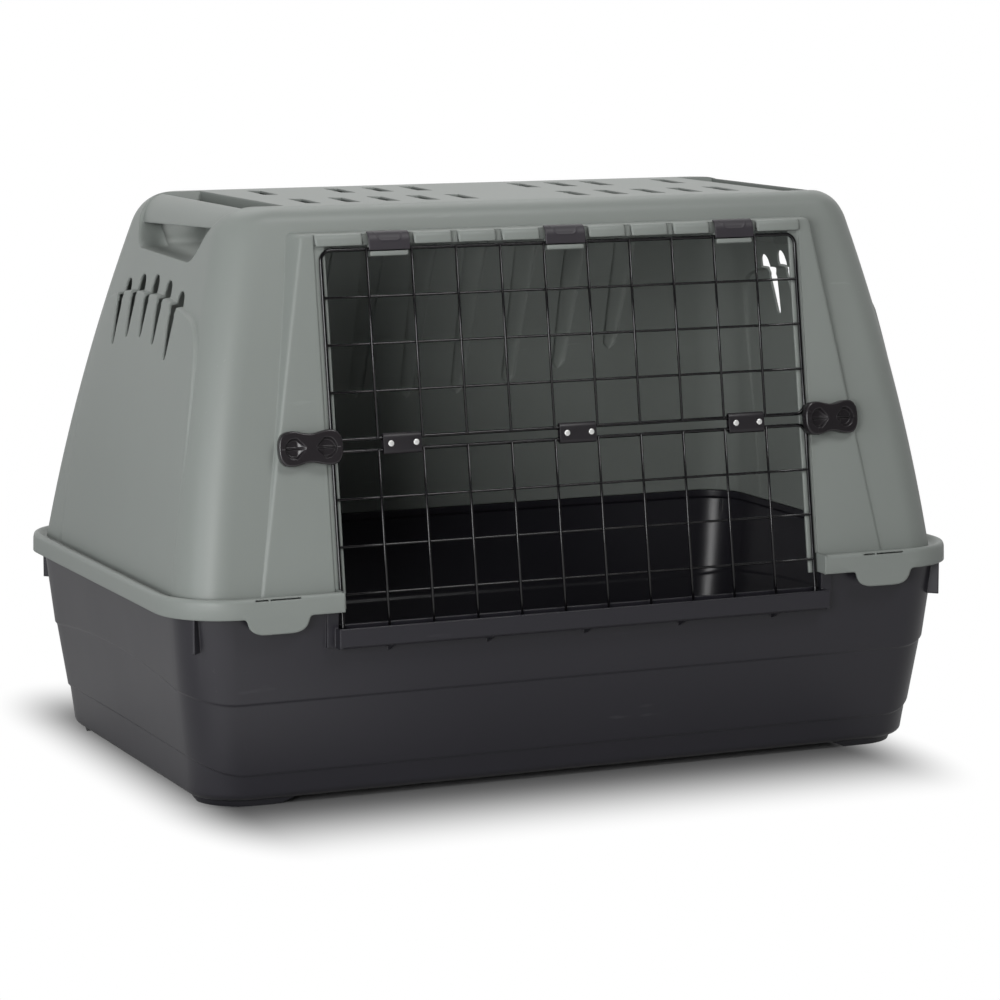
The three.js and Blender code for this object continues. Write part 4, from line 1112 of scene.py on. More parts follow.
    def outside(self) -> Solid:
        """The shell's outside without its door surround and end panels.

        Returns:
            The body.
        """
        crest, ledge = SIZE.crest, SIZE.ledge
        levels = [(SIZE.skirt_bottom + up, gone) for up, gone in self.skirt_edge]
        levels += [(crest + up, gone) for up, gone in self.crest_rise]
        levels += [(crest + up, self.crest_inset + gone) for up, gone in self.crest_fall]
        levels += [(ledge + 1.2, self.gutter_inset - 1.6), (ledge, self.gutter_inset + 1.2)]
        return Solid.skin([self.rim(z, gone).ring() for z, gone in levels] + self.walls(0))

    def inside(self) -> Solid:
        """The hollow under the rim and within the walls.

        Returns:
            The body to cut away.
        """
        ceiling = SIZE.ledge - SIZE.wall
        skirt = [self.rim(SIZE.skirt_bottom - BEYOND, SIZE.wall), self.rim(ceiling, SIZE.wall)]
        base = self.section(SIZE.ledge, SIZE.wall)
        foot = Section(ceiling + 0.4, base.x, base.front, base.back, base.radius)
        rings = [part.ring() for part in (*skirt, foot)]
        return Solid.skin(rings + self.walls(SIZE.wall)[1:])

    def surround(self, face: float, inward: float) -> Solid:
        """The raised surround of the door, from its face back into the shell.

        Args:
            face: Distance of its face out of the door.
            inward: Distance into the wall.

        Returns:
            The body.
        """
        top = self.surround_head - inward
        bend = self.surround_rounding - min(inward, 2)
        foot = DOOR.slope_at(SIZE.ledge - 1)
        turns = np.linspace(0, math.pi / 2, 9)
        rings = []
        for up in [foot, *(top - self.surround_corner * (1 - math.sin(a)) for a in turns)]:
            gone = self.edge_inset(bend, top - up)
            share = (up - foot) / (top - foot)
            half = self.surround_half_base + (self.surround_half_top - self.surround_half_base) * share - inward
            half -= self.edge_inset(self.surround_corner, top - up)
            height = DOOR.place(np.array([0, up, face - gone]))[2]
            y = DOOR.y_at(height, face - gone)
            deep = half + self.surround_flare * BEYOND
            flat = rounded([(-deep, y + BEYOND), (-half, y), (half, y), (deep, y + BEYOND)], 1.2 * bend)
            rings.append(np.column_stack([flat, np.full(len(flat), height)]))
        return Solid.skin(rings)

    def pad_outline(self, inward: float) -> Points:
        """Arched outline of the raised panel on an end wall.

        Args:
            inward: Distance inside the outline.

        Returns:
            The outline's points.
        """
        middle, top, level = self.pad_centre, self.pad_top - inward, self.pad_half_top / 2
        wide, foot = self.pad_half_shoulder - inward, self.pad_half_base - inward
        low, shoulder = SIZE.ledge - 1, self.pad_shoulder
        turn, lift = wide - self.pad_turn, shoulder + self.pad_lift
        return traced(
            (middle - foot, low),
            [(middle + foot, low)],
            [(middle + foot, shoulder - self.pad_straight), (middle + wide, shoulder)],
            [(middle + turn, lift), (middle + 3 * level, top - self.pad_fall), (middle + level, top)],
            [(middle - level, top)],
            [(middle - 3 * level, top - self.pad_fall), (middle - turn, lift), (middle - wide, shoulder)],
            [(middle - foot, shoulder - self.pad_straight), (middle - foot, low)],
            steps=24,
        )

    def pad_height(self, y: Points, z: Points | float) -> Points:
        """How far the end panel stands proud of its wall.

        Args:
            y: Y of the places.
            z: Z of the places.

        Returns:
            The distances.
        """
        t = np.clip((z - SIZE.ledge) / (self.pad_top - SIZE.ledge), 0, 1)
        middle = self.pad_foot + (self.pad_rise - self.pad_foot) * t**2
        away = np.minimum(np.abs(y - self.pad_centre) / self.pad_half_base, 1)
        return middle * (1 - self.pad_fade * away**4)

    def end_panel(self, inward: float) -> Solid:
        """The raised panel at both ends, with softly rounded shoulders.

        Args:
            inward: Distance into the wall.

        Returns:
            Both panels.
        """
        body = Solid.skin(self.walls(inward, self.pad_height))
        rings = []
        for share, height in [(self.pad_edge[0][0], -BEYOND), *self.pad_edge]:
            flat = self.pad_outline(inward + self.pad_rounding * share)
            flat[:, 1] = np.maximum(flat[:, 1], SIZE.ledge - 1)
            y, z = flat[:, 0], flat[:, 1]
            x = self.end_x(y, np.maximum(z, SIZE.ledge), inward)
            x += height * (self.pad_height(y, z) if height > -1 else 1)
            rings.append(np.column_stack([x, flat]))
        rings.append(np.column_stack([np.full(len(flat), SIZE.half_length), flat]))
        tool = Solid.skin(rings)
        return body & tool.both_ends()

    @staticmethod
    def leaned(points: Points, lean: float) -> Points:
        """Points raised toward the back of the roof by a share of their Y."""
        return points + np.outer(points[:, 1] - SIZE.roof_middle, [0, 0, lean])

    def recess_part(self, outward: float, spread: float, outer: float) -> Solid:
        """Part of the right handle's recess.

        Args:
            outward: How far it grows into its own wall.
            spread: How much wider it is.
            outer: X where it ends.

        Returns:
            The body to cut out.
        """
        low, high = self.handle_half_low + outward + spread, self.handle_half_roof + outward
        floor, bend = self.handle_bottom - outward, self.mouth_corner + outward
        slope = (high - low) / (SIZE.height - self.handle_bottom)
        middle, roof = SIZE.roof_middle, SIZE.height + BEYOND
        front = traced(
            (middle - low + bend, floor),
            [(middle + low - bend, floor)],
            [(middle + low, floor), (middle + low + slope * bend, floor + bend)],
            [(middle + high + slope * BEYOND, roof)],
            [(middle - high - slope * BEYOND, roof)],
            [(middle - low - slope * bend, floor + bend)],
            [(middle - low, floor), (middle - low + bend, floor)],
        )
        inner = SIZE.half_length - self.end_top - self.handle_depth - outward
        bend = self.handle_rounding + outward
        side = traced(
            (inner + bend, floor),
            [(outer, floor)],
            [(outer, roof)],
            [(inner, roof)],
            [(inner, floor + bend)],
            [(inner, floor), (inner + bend, floor)],
        )
        across = Solid.prism(front, Lie.ALONG, inner - BEYOND, SIZE.half_length)
        part = across & Solid.prism(side, Lie.ACROSS, -SIZE.half_width, SIZE.half_width)
        return part.placed(lambda points: self.leaned(points, self.mouth_lean))

    def recesses(self, outward: float) -> Solid:
        """The recesses of both handles: a mouth, and a wider pocket behind it.

        Args:
            outward: How much larger all round.

        Returns:
            Both recesses.
        """
        mouth = self.recess_part(outward, 0, SIZE.half_length)
        edge = SIZE.half_length - self.end_top - self.mouth_depth + outward
        return (mouth + self.recess_part(outward, self.pocket_spread, edge)).both_ends()

    def bars(self) -> Solid:
        """The bars that bridge the recesses.

        Returns:
            Both bars.
        """
        inner = SIZE.half_length - self.end_top - self.bar_depth
        low, bend, roof = self.bar_bottom, self.bar_rounding, SIZE.height + BEYOND
        side = traced(
            (inner + bend, low),
            [(SIZE.half_length, low)],
            [(SIZE.half_length, roof)],
            [(inner, roof)],
            [(inner, low + bend)],
            [(inner, low), (inner + bend, low)],
        )
        bar = Solid.prism(side, Lie.ACROSS, -SIZE.half_width, SIZE.half_width)
        bar = bar.placed(lambda points: self.leaned(points, self.bar_lean)).both_ends()
        lift = self.bar_inset - self.bar_drop
        skin = Solid.skin(self.walls(self.bar_inset)).placed(lambda points: points + [0, 0, lift])
        return bar & skin & self.recesses(OVERLAP)

    def vents(self) -> Solid:
        """Cuts for the vents of both ends: a lens above the arch, a long taper below it.

        Returns:
            The body to cut away.
        """
        cuts = []
        for index in range(self.vent_count):
            step = index - (self.vent_count - 1) / 2
            middle = self.pad_centre + step * self.vent_pitch
            top = self.vent_top - self.vent_drop * step**2
            bottom = self.vent_bottom - self.vent_tail_drop * step**2
            neck = top - self.vent_neck * (self.vent_top - self.vent_bottom)
            right = [
                (0.3 * self.vent_tip, bottom + 1),
                (0.5 * self.vent_tip, bottom + 5),
                (0.5 * self.vent_tail, neck - 3),
                (0.4 * self.vent_tail, neck),
                (0.43 * self.vent_width, neck + 4),
                (0.5 * self.vent_width, neck + 10),
                (0.4 * self.vent_width, top - 6),
                (0.2 * self.vent_width, top - 1),
            ]
            left = [(-y, z) for y, z in reversed(right)]
            outline = rounded([(middle + y, z) for y, z in right + left], 2.4, 3)
            start = SIZE.half_length - self.end_top - 20
            cuts.append(Solid.prism(outline, Lie.ALONG, start, SIZE.half_length).both_ends())
        return Solid.union(cuts)

    def roof_slots(self) -> Solid:
        """Cuts for the slots in the roof.

        Returns:
            The body to cut away.
        """
        length, half, lean, skew = self.slot_length / 2, self.slot_width / 2, self.slot_slant / 2, self.slot_skew
        shift = (self.slot_gap + self.slot_length) / 2
        places = []
        for side in (-1, 1):
            for index in range(self.slot_count):
                x = side * (self.slot_first + index * self.slot_pitch)
                places.append((x, SIZE.roof_middle - shift))
                if index != self.slot_missing:
                    places.append((x + self.slot_slant, SIZE.roof_middle + shift))
        cuts = []
        for x, y in places:
            corners = [
                (x - lean - half, y - length + skew),
                (x - lean + half, y - length - skew),
                (x + lean + half, y + length - skew),
                (x + lean - half, y + length + skew),
            ]
            outline = rounded(corners, self.slot_corner)
            cuts.append(Solid.prism(outline, Lie.UPRIGHT, SIZE.height - BEYOND, SIZE.height + BEYOND))
        return Solid.union(cuts)

    def door_opening(self) -> Solid:
        """Cut that opens the shell behind the door.

        Returns:
            The body to cut away.
        """
        half = DOOR.half - self.door_overlap
        top, bottom = self.lobe_drop, DOOR.slope_at(SIZE.skirt_bottom) - BEYOND
        bend = self.opening_corner
        outline = traced(
            (-half, bottom),
            [(half, bottom)],
            [(half, top - bend)],
            [(half, top), (half - bend, top)],
            [(bend - half, top)],
            [(-half, top), (-half, top - bend)],
        )
        return Solid.prism(outline, Lie.UPRIGHT, -BEYOND, BEYOND).placed(DOOR.place)

    def lobes(self) -> list[Solid]:
        """Lobes of the head between the upright wires, so that these can swing past.

        Returns:
            One body a lobe.
        """
        seat, up = DOOR.seat, self.lobe_drop
        front = seat + self.lobe_rise
        section = traced(
            (seat - OVERLAP, up),
            [(front - 0.8, up)],
            [(front, up), (front, up + 0.9)],
            [(front, up + self.lobe_face)],
            [(front, up + self.lobe_shoulder), (front - self.lobe_setback, self.surround_head - 0.4)],
            [(seat - OVERLAP, self.surround_head - 1.5)],
            steps=6,
        )
        half = (DOOR.pitch - self.lobe_groove) / 2
        edge = DOOR.half + DOOR.frame_radius + self.rebate_margin - OVERLAP
        bodies = []
        for cell in range(DOOR.columns):
            if cell in DOOR.clip_cells:
                continue
            middle = DOOR.cell_middle(cell)
            start = -edge if cell == 0 else middle - half
            end = edge if cell == DOOR.columns - 1 else middle + half
            bodies.append(Solid.prism(section, Lie.DOOR, start, end, rounding=self.lobe_rounding))
        return bodies

    def hooks(self) -> list[Solid]:
        """Hooks that carry the hinge wire: a back, and a lip under the wire.

        Returns:
            One body a hook.
        """
        clear, wall = DOOR.frame_radius + SIZE.fit, SIZE.wall
        back, head = -clear - wall, self.surround_head - 3
        turns = np.radians(np.arange(-90, -181, -15))
        seat = [(1.01 * clear * math.cos(a), 1.01 * clear * math.sin(a)) for a in turns]
        low = -self.hook_drop
        section = [(back, head), (back, low + 1.5), (back + 1.5, low)]
        section += [(clear + 0.7, low), (clear + 1.6, low + 0.5), (clear + 2, low + 1.5)]
        section += [(clear + 2, -clear - 0.9), (clear + 1.7, -clear - 0.45)]
        section += [*seat, (-clear - 0.05, head)]
        half = self.hook_width / 2
        bodies = []
        for cell in DOOR.clip_cells:
            middle = DOOR.cell_middle(cell)
            ends = middle - half, middle + half
            bodies.append(Solid.prism(np.array(section), Lie.DOOR, *ends, rounding=self.hook_rounding))
        return bodies

    def tab_places(self) -> list[tuple[float, int]]:
        """X and side of the four snap tabs."""
        x = SIZE.half_length - self.tab_inset
        return [(-x, -1), (x, -1), (-x, 1), (x, 1)]

    def tabs(self) -> list[Solid]:
        """The snap tabs that hang from the skirt.

        Returns:
            One body a tab.
        """
        half, top = self.tab_width / 2, SIZE.skirt_bottom
        low = top - self.tab_reach
        side = [(half + 5, top), (half + 1, top), (half + 0.5, top - 3.5), (half - 0.7, top - 7)]
        bottom = [(half - 2.5, top - 13.5), (half - 8.5, low + 0.7), (half - 19, low + 0.2)]
        left = [[(-x, z) for x, z in run] for run in (side, bottom)]
        outline = traced(
            (-side[0][0], top + 2 * OVERLAP),
            [left[0][0]],
            left[0][1:],
            left[1],
            [(0.4 * bottom[2][0] - half / 2, low), (half / 2 - 0.4 * bottom[2][0], low), bottom[2]],
            [bottom[1], bottom[0], side[3]],
            [side[2], side[1], side[0]],
            [(side[0][0], top + 2 * OVERLAP)],
            steps=12,
        )
        bodies = []
        for x, side in self.tab_places():
            start = -SIZE.half_width if side < 0 else SIZE.half_width - SIZE.wall
            bodies.append(Solid.prism(outline + [x, 0], Lie.ACROSS, start, start + SIZE.wall))
        return bodies

    def gutter_cuts(self) -> Solid:
        """Slots in the crest's slope above the tabs, and holes in the gutters of the ends.

        Returns:
            The body to cut away.
        """
        low, high = SIZE.ledge - 2 * SIZE.wall, SIZE.crest + 2
        gone = (self.crest_inset + self.gutter_inset) / 2 + 1
        slit = SIZE.crest - self.tab_slot_drop
        cuts = []
        for x, side in self.tab_places():
            reach = sorted([side * (SIZE.half_width + 1), side * (SIZE.half_width - 9)])
            for part in self.tab_slot_parts:
                start, end = (x + (share - 0.5) * self.tab_slot_length for share in part)
                low_end = (start, reach[0], slit - self.tab_slot / 2)
                cuts.append(Solid.block(low_end, (end, reach[1], slit + self.tab_slot / 2)))
        for side in (-1, 1):
            x, y = SIZE.half_length - gone - 1, side * self.gutter_hole_spread / 2
            radius = self.gutter_hole / 2
            hole = lathe([(radius, low), (radius, high)], 20).placed(lambda points, x=x, y=y: points + [x, y, 0])
            cuts.append(hole.both_ends())
        return Solid.union(cuts)

    def flutes(self, grow: float) -> list[Solid]:
        """Long shallow flutes pressed outward in the back wall; grow makes them their own wall.

        Args:
            grow: How much larger all round.

        Returns:
            One body a flute.
        """
        bodies = []
        for index in range(self.flute_count):
            x = self.flute_middle + (index - (self.flute_count - 1) / 2) * self.flute_pitch
            bottom = self.flute_bottom + self.flute_lift * (x / self.flute_reach) ** 2
            rings = []
            for share in np.linspace(0, 1, 22):
                z = bottom + (self.flute_top - bottom) * share
                tip = math.sqrt(max(1 - (1 - min((z - bottom) / self.flute_tip, 1)) ** 2, 0.0004))
                fade = 1 - smooth_step(share, self.flute_fade, 1)
                half = ((self.flute_half + self.flute_spread * share) + grow) * tip
                deep = (self.flute_depth * fade + 0.02) * tip
                wall = self.section(z, SIZE.wall).back
                angles = np.linspace(0, 2 * math.pi, 20, endpoint=False)
                outer, inner = np.maximum(np.sin(angles), 0), np.minimum(np.sin(angles), 0)
                y = wall + grow + deep * np.sqrt(outer) + 2 * inner
                rings.append(np.column_stack([x + half * np.cos(angles), y, np.full(20, z)]))
            bodies.append(Solid.skin(rings))
        return bodies

    def latch_place(self, side: int) -> Callable[[Points], Points]:
        """Function that brings points from a latch's own frame into the carrier's.

        Args:
            side: 1 on the right, -1 on the left.

        Returns:
            The function.
        """
        tilt = side * math.radians(self.latch_tilt)
        turn = np.array([[math.cos(tilt), 0, -math.sin(tilt)], [0, 1, 0], [math.sin(tilt), 0, math.cos(tilt)]])
        centre = [side * (DOOR.half + self.knob_offset), -DOOR.fold_middle, self.surround_face + self.seat_height]
        return lambda points: DOOR.place(np.asarray(points, float) @ turn + centre)

    def round_on_latch(self, side: int, diameter: float, start: float, end: float) -> Solid:
        """A round body on a latch's axis."""
        return lathe([(diameter / 2, start), (diameter / 2, end)], 40).placed(self.latch_place(side))

    def build(self) -> Solid:
        """Make the whole moulding.

        Returns:
            The moulding.
        """
        wall = SIZE.wall
        outside = Solid.union([self.outside(), self.end_panel(0), self.surround(self.surround_face, 0)])
        cavity = Solid.union([self.inside(), self.end_panel(wall), self.surround(self.surround_inside, wall)])
        shell = outside - self.recesses(0)
        shell = Solid.union([shell, *self.flutes(wall)])
        shell = shell - (cavity - self.recesses(wall)) + self.bars()
        for flute in self.flutes(0):
            shell = shell - flute

        seat, inside = DOOR.seat, self.surround_inside
        seat_half = DOOR.half + DOOR.frame_radius + self.rebate_margin
        foot = DOOR.slope_at(SIZE.skirt_bottom)
        notch = DOOR.half + DOOR.frame_radius + self.notch_margin
        opening = DOOR.half - self.door_overlap
        head = self.surround_head - 1.5
        shell = shell - DOOR.block((-seat_half, DOOR.slope_at(SIZE.ledge + 2), seat), (seat_half, head, BEYOND))
        shell = shell - DOOR.block((-notch, foot - wall, seat), (notch, DOOR.slope_at(SIZE.ledge + 4), BEYOND))
        strip_top = DOOR.slope_at(SIZE.ledge + 8)
        strip = np.array([(inside, foot), (seat, foot), (seat, strip_top), (inside, strip_top)])
        right = Solid.prism(strip, Lie.DOOR, opening + OVERLAP, notch + self.notch_margin)
        shell = shell + right.both_ends() - self.door_opening()
        back = DOOR.y_at(SIZE.ledge, inside)
        low = (notch, OVERLAP - SIZE.half_width, SIZE.skirt_bottom + OVERLAP)
        high = (notch + self.gutter_end, back, SIZE.crest - OVERLAP)
        seats = [
            self.round_on_latch(side, self.seat_diameter, -self.seat_height - wall, 0) for side in (-1, 1)
        ]
        shell = Solid.union(
            [shell, Solid.block(low, high).both_ends(), *self.lobes(), *self.hooks(), *self.tabs(), *seats]
        )
        for side in (-1, 1):
            shell = shell - self.round_on_latch(side, self.spindle_diameter + 2 * SIZE.fit, -30, 30)
        return shell - self.vents() - self.roof_slots() - self.gutter_cuts()

    def dress(self, looks: Finishes) -> None:
        """Build the shell and put it in place of its plain solid."""
        self.build().stand_for("shell", "carrier", "shell_plastic", "shell_moulding", looks.shell)


# ---- tub ----------------------------------------------------------------------------------


@dataclass(frozen=True)
class Step:
    """A step round the tub: its height along the sides and the ends, and its two insets."""

    side: float
    end: float
    arch: float
    above: float
    below: float


@dataclass
class Tub:
    """The lower moulding: stepped walls, flange, rim, feet, ribs and the sill trough."""

    rim: float = 19.5
    top: float = 15.8
    steps: tuple[Step, ...] = (Step(122, 133, 13, 24.8, 26.8), Step(38.5, 56.5, 1, 36.4, 38.8))
    bottom: float = 42.5
    step_slope: float = 3
    bottom_rounding: float = 11
    radius: float = 55
    turn_points: int = 8
    step_points: int = 7
    foot_height: float = 7
    foot_length: float = 105
    foot_width: float = 68
    foot_inset: float = 9
    foot_draft: float = 2
    foot_taper: float = 12
    flange_thickness: float = 3
    rib_reach: float = 8.5
    rib_height: float = 41
    rib_thickness: float = 3
    doorway_margin: float = 4.3
    threshold: float = 205
    trough_inset: float = 22.4
    sill_top: float = 204
    sill_end: float = 4
    sill_chamfer: float = 3
    gusset_pitch: float = 122
    gusset_count: int = 5
    gusset_height: float = 9
    pilaster_width: float = 14
    pilaster_rise: float = 3.5

    @property
    def flange_bottom(self) -> float:
        """Underside of the flange."""
        return SIZE.skirt_bottom + 2

    @property
    def doorway_half(self) -> float:
        """Half width of the doorway."""
        return DOOR.half + DOOR.frame_radius + self.doorway_margin

    def level(self, side: float, gone: float, end: float | None = None, arch: float = 0, inward: float = 0) -> Points:
        """A ring of the tub whose height changes round the corners and arches across the ends.

        Args:
            side: Height at the long sides.
            gone: Inset from the rim.
            end: Height at the ends.
            arch: Rise in the middle of an end.
            inward: Distance into the wall.

        Returns:
            The ring's points.
        """
        gone += inward
        x, y = SIZE.half_length - gone, SIZE.half_width - gone
        section = Section(side, x, y, y, self.radius - inward)
        ring = section.ring(side_points=30)
        straight = y - section.radius
        away = np.abs(ring[:, 1])
        turn = np.maximum(away - straight, 0) / section.radius
        bow = np.where(away < straight, arch * (1 - (away / straight) ** 2), 0)
        ring[:, 2] = side + ((side if end is None else end) - side) * (1 - turn**2) + bow
        return ring

    def profile(self) -> list[tuple]:
        """Levels of the outside from its bottom edge to the flange, as arguments of level.

        Returns:
            The levels, rising.
        """
        low, bend = self.foot_height, self.bottom_rounding
        levels = [
            (low + bend * (1 - math.cos(a)), self.bottom + bend * (1 - math.sin(a)))
            for a in np.linspace(0, math.pi / 2, self.turn_points)
        ]
        for step in reversed(self.steps):
            for share in np.linspace(0, 1, self.step_points):
                rise = (share - 0.5) * (self.step_slope + 1)
                gone = step.below + (step.above - step.below) * float(smooth_step(share, 0, 1))
                levels.append((step.side + rise, gone, step.end + rise, step.arch))
        base = self.flange_bottom
        return [*levels, (base, self.top), (base + self.flange_thickness, self.rim)]

    def body(self) -> Solid:
        """Walls, floor, rim and flange.

        Returns:
            The body.
        """
        rim_top = SIZE.ledge - SIZE.wall - SIZE.fit
        levels = self.profile()
        floor = [(side + SIZE.wall, *rest) for side, *rest in levels[1 : self.turn_points]]
        outside = [self.level(*part) for part in [*levels, (rim_top, self.rim)]]
        inner = [*floor, *levels[self.turn_points :], (rim_top + BEYOND, self.rim)]
        inside = [self.level(*part, inward=SIZE.wall) for part in inner]
        gone = SIZE.wall + SIZE.fit
        x, y = SIZE.half_length - gone, SIZE.half_width - gone
        heights = (self.flange_bottom, self.flange_bottom + self.flange_thickness)
        flange = [Section(z, x, y, y, SIZE.rim_radius - gone).ring(side_points=30) for z in heights]
        return Solid.skin(outside) + Solid.skin(flange) - Solid.skin(inside)

    def wall_inset(self, z: float) -> float:
        """Inset of the outside between the upper step and the flange.

        Args:
            z: The height.

        Returns:
            The inset.
        """
        upper = self.steps[0]
        share = (z - upper.side) / (self.flange_bottom - upper.side)
        return upper.above + (self.top - upper.above) * share

    def feet(self) -> Solid:
        """Feet under the corners, each a slab that follows the bottom's outline.

        Returns:
            All four feet.
        """
        rings = []
        base = self.bottom + self.foot_inset
        for z, gone in ((0, base + self.foot_draft), (self.foot_height + OVERLAP, base)):
            x, y = SIZE.half_length - gone, SIZE.half_width - gone
            rings.append(Section(z, x, y, y, self.radius).ring())
        x = SIZE.half_length - self.bottom - self.foot_length
        y = SIZE.half_width - self.bottom - self.foot_width
        top = self.foot_height + 2

        def gap(half: float) -> Points:
            """Outline of the gap between two feet."""
            low, high = half + self.foot_taper, half - self.foot_taper
            return np.array([(-low, -OVERLAP), (low, -OVERLAP), (high, top), (-high, top)])

        across = Solid.prism(gap(x), Lie.ACROSS, -SIZE.half_width, SIZE.half_width)
        along = Solid.prism(gap(y), Lie.ALONG, -SIZE.half_length, SIZE.half_length)
        return Solid.skin(rings) - across - along

    def corner_ribs(self) -> list[Solid]:
        """Upright ribs on the diagonals of the corners, under the flange.

        Returns:
            One body a rib.
        """
        centre = self.radius + self.top
        low = (self.radius - 2 * self.step_slope, -self.rib_thickness / 2, self.flange_bottom - self.rib_height)
        high = (self.radius + self.rib_reach, self.rib_thickness / 2, self.flange_bottom + OVERLAP)
        plate = Solid.block(low, high)
        ribs = []
        for sx in (-1, 1):
            for sy in (-1, 1):
                angle = math.atan2(sy, sx)
                sine, cosine = math.sin(angle), math.cos(angle)
                turn = np.array([[cosine, sine, 0], [-sine, cosine, 0], [0, 0, 1]])
                place = [sx * (SIZE.half_length - centre), sy * (SIZE.half_width - centre), 0]
                ribs.append(plate.placed(lambda points, turn=turn, place=place: points @ turn + place))
        return ribs

    def sill(self, floor: float) -> list[Solid]:
        """Trough for the lowest wire of the door, with its lip, ends and gussets.

        Args:
            floor: Height of the trough's floor.

        Returns:
            The trough's bodies.
        """
        half, bottom, wall = self.doorway_half + self.sill_end, floor - SIZE.wall, SIZE.wall
        back, front = self.trough_inset - SIZE.half_width, -SIZE.half_width
        lip = [
            (front, bottom + self.sill_chamfer),
            (front + self.sill_chamfer, bottom),
            (back + wall, bottom),
            (back + wall, self.threshold),
            (back, self.threshold),
            (back, floor),
            (front + wall, floor),
            (front + wall, self.sill_top),
            (front, self.sill_top),
        ]
        parts = [Solid.prism(np.array(lip), Lie.ALONG, -half, half)]
        proud = front + self.wall_inset(self.threshold) - self.pilaster_rise
        ends = Solid.block(
            (self.doorway_half, front + OVERLAP, bottom + OVERLAP), (half, back + wall / 2, self.sill_top - 1)
        )
        pier = Solid.block(
            (self.doorway_half, proud, bottom + OVERLAP),
            (self.doorway_half + self.pilaster_width, back + OVERLAP, self.flange_bottom + OVERLAP),
        )
        parts += [ends.both_ends(), pier.both_ends()]
        top, low = bottom + OVERLAP, bottom - self.gusset_height
        gusset = np.array([(front + wall, top), (back, top), (back, low)])
        for index in range(self.gusset_count):
            x = (index - (self.gusset_count - 1) / 2) * self.gusset_pitch
            parts.append(Solid.prism(gusset, Lie.ALONG, x - wall / 2, x + wall / 2))
        return parts

    def build(self) -> Solid:
        """Make the whole moulding.

        Returns:
            The moulding.
        """
        floor = DOOR.bottom_z - DOOR.frame_radius - SIZE.fit
        half, front = self.doorway_half, -SIZE.half_width
        body = Solid.union([self.body(), self.feet(), *self.corner_ribs()])
        body = body - Solid.block((-half, front - BEYOND, self.threshold), (half, front + 2 * self.rim, SIZE.height))
        body = body - Solid.block((-half, front - BEYOND, floor), (half, front + self.trough_inset, SIZE.height))
        return Solid.union([body, *self.sill(floor)])

    def dress(self, looks: Finishes) -> None:
        """Build the tub and put it in place of its plain solid."""
        self.build().stand_for("tub", "carrier", "tub_plastic", "tub_moulding", looks.tub)


# ---- door ---------------------------------------------------------------------------------


class Panel(Enum):
    """The two panels of the door: name of the piece, its node and its body."""

    UPPER = ("door_wires_upper", "upper_door_panel", "door_upper")
    LOWER = ("door_wires_lower", "lower_door_panel", "door_lower")


@dataclass
class WireDoor:
    """The two welded panels of round wire."""

    corner: float = 12
    sides: int = 14
    level_wire: float = 0.4
    sink: float = 0.6
    bend_steps: int = 8
    end_length: float = 0.4
    end_share: float = 0.7

    def loop(self, top: float, bottom: float) -> Solid:
        """The frame of a panel: one wire bent round four corners and closed on itself.

        Args:
            top: Place of its top wire.
            bottom: Place of its bottom wire.

        Returns:
            The wire.
        """
        bend, half, radius = self.corner, DOOR.half, DOOR.frame_radius
        corners = [
            (half - bend, top - bend, 0),
            (bend - half, top - bend, 1),
            (bend - half, bottom + bend, 2),
            (half - bend, bottom + bend, 3),
        ]
        around = (np.arange(self.sides) + 0.5) * 2 * math.pi / self.sides
        rings = []
        for cx, cy, quarter in corners:
            for step in range(self.bend_steps + 1):
                angle = (quarter + step / self.bend_steps) * math.pi / 2
                out = np.array([math.cos(angle), math.sin(angle), 0])
                middle = np.array([cx, cy, 0]) + out * bend
                ring = middle + np.outer(radius * np.sin(around), out)
                ring[:, 2] += radius * np.cos(around)
                rings.append(ring)
        return Solid.skin(rings, closed=True)

    def wire(self, start: Sequence[float], end: Sequence[float]) -> Solid:
        """A straight grid wire between two points, its ends a little rounded.

        Args:
            start: Where it starts.
            end: Where it ends.

        Returns:
            The wire.
        """
        start, end = np.array(start, float), np.array(end, float)
        way = (end - start) / np.linalg.norm(end - start)
        side = np.array([way[1], -way[0], 0])
        around = (np.arange(self.sides) + 0.5) * 2 * math.pi / self.sides
        radius = DOOR.grid_radius
        rings = []
        tip, share_there = self.end_length * way, self.end_share
        for place, share in ((start, share_there), (start + tip, 1), (end - tip, 1), (end, share_there)):
            ring = place + np.outer(share * radius * np.cos(around), side)
            ring[:, 2] += share * radius * np.sin(around)
            rings.append(ring)
        return Solid.skin(rings)

    def panel(self, top: float, bottom: float) -> Solid:
        """A welded panel between two places on the slope.

        Args:
            top: Place of its top wire.
            bottom: Place of its bottom wire.

        Returns:
            The panel.
        """
        parts = [self.loop(top, bottom)]
        pitch_down = DOOR.panel_height / DOOR.rows
        for row in range(1, DOOR.rows):
            y = top - row * pitch_down
            parts.append(self.wire((-DOOR.half, y, self.level_wire), (DOOR.half, y, self.level_wire)))
        upright = self.level_wire + 2 * DOOR.grid_radius - self.sink
        spare = DOOR.grid_radius / 2
        for column in range(1, DOOR.columns):
            x = column * DOOR.pitch - DOOR.half
            parts.append(self.wire((x, top + spare, upright), (x, bottom - spare, upright)))
        return Solid.union(parts).placed(DOOR.place)

    def dress(self, looks: Finishes) -> None:
        """Build both panels and put them in place of their plain solids.

        Args:
            looks: The finishes.
        """
        spans = {
            Panel.UPPER: (0.0, -DOOR.panel_height),
            Panel.LOWER: (-DOOR.panel_height - DOOR.fold_gap, -DOOR.height),
        }
        for panel, (top, bottom) in spans.items():
            name, node, body = panel.value
            self.panel(top, bottom).stand_for(node, body, "coated_wire", name, looks.wire, crease=60)


# ---- hinge clips, joint clips and rivets --------------------------------------------------


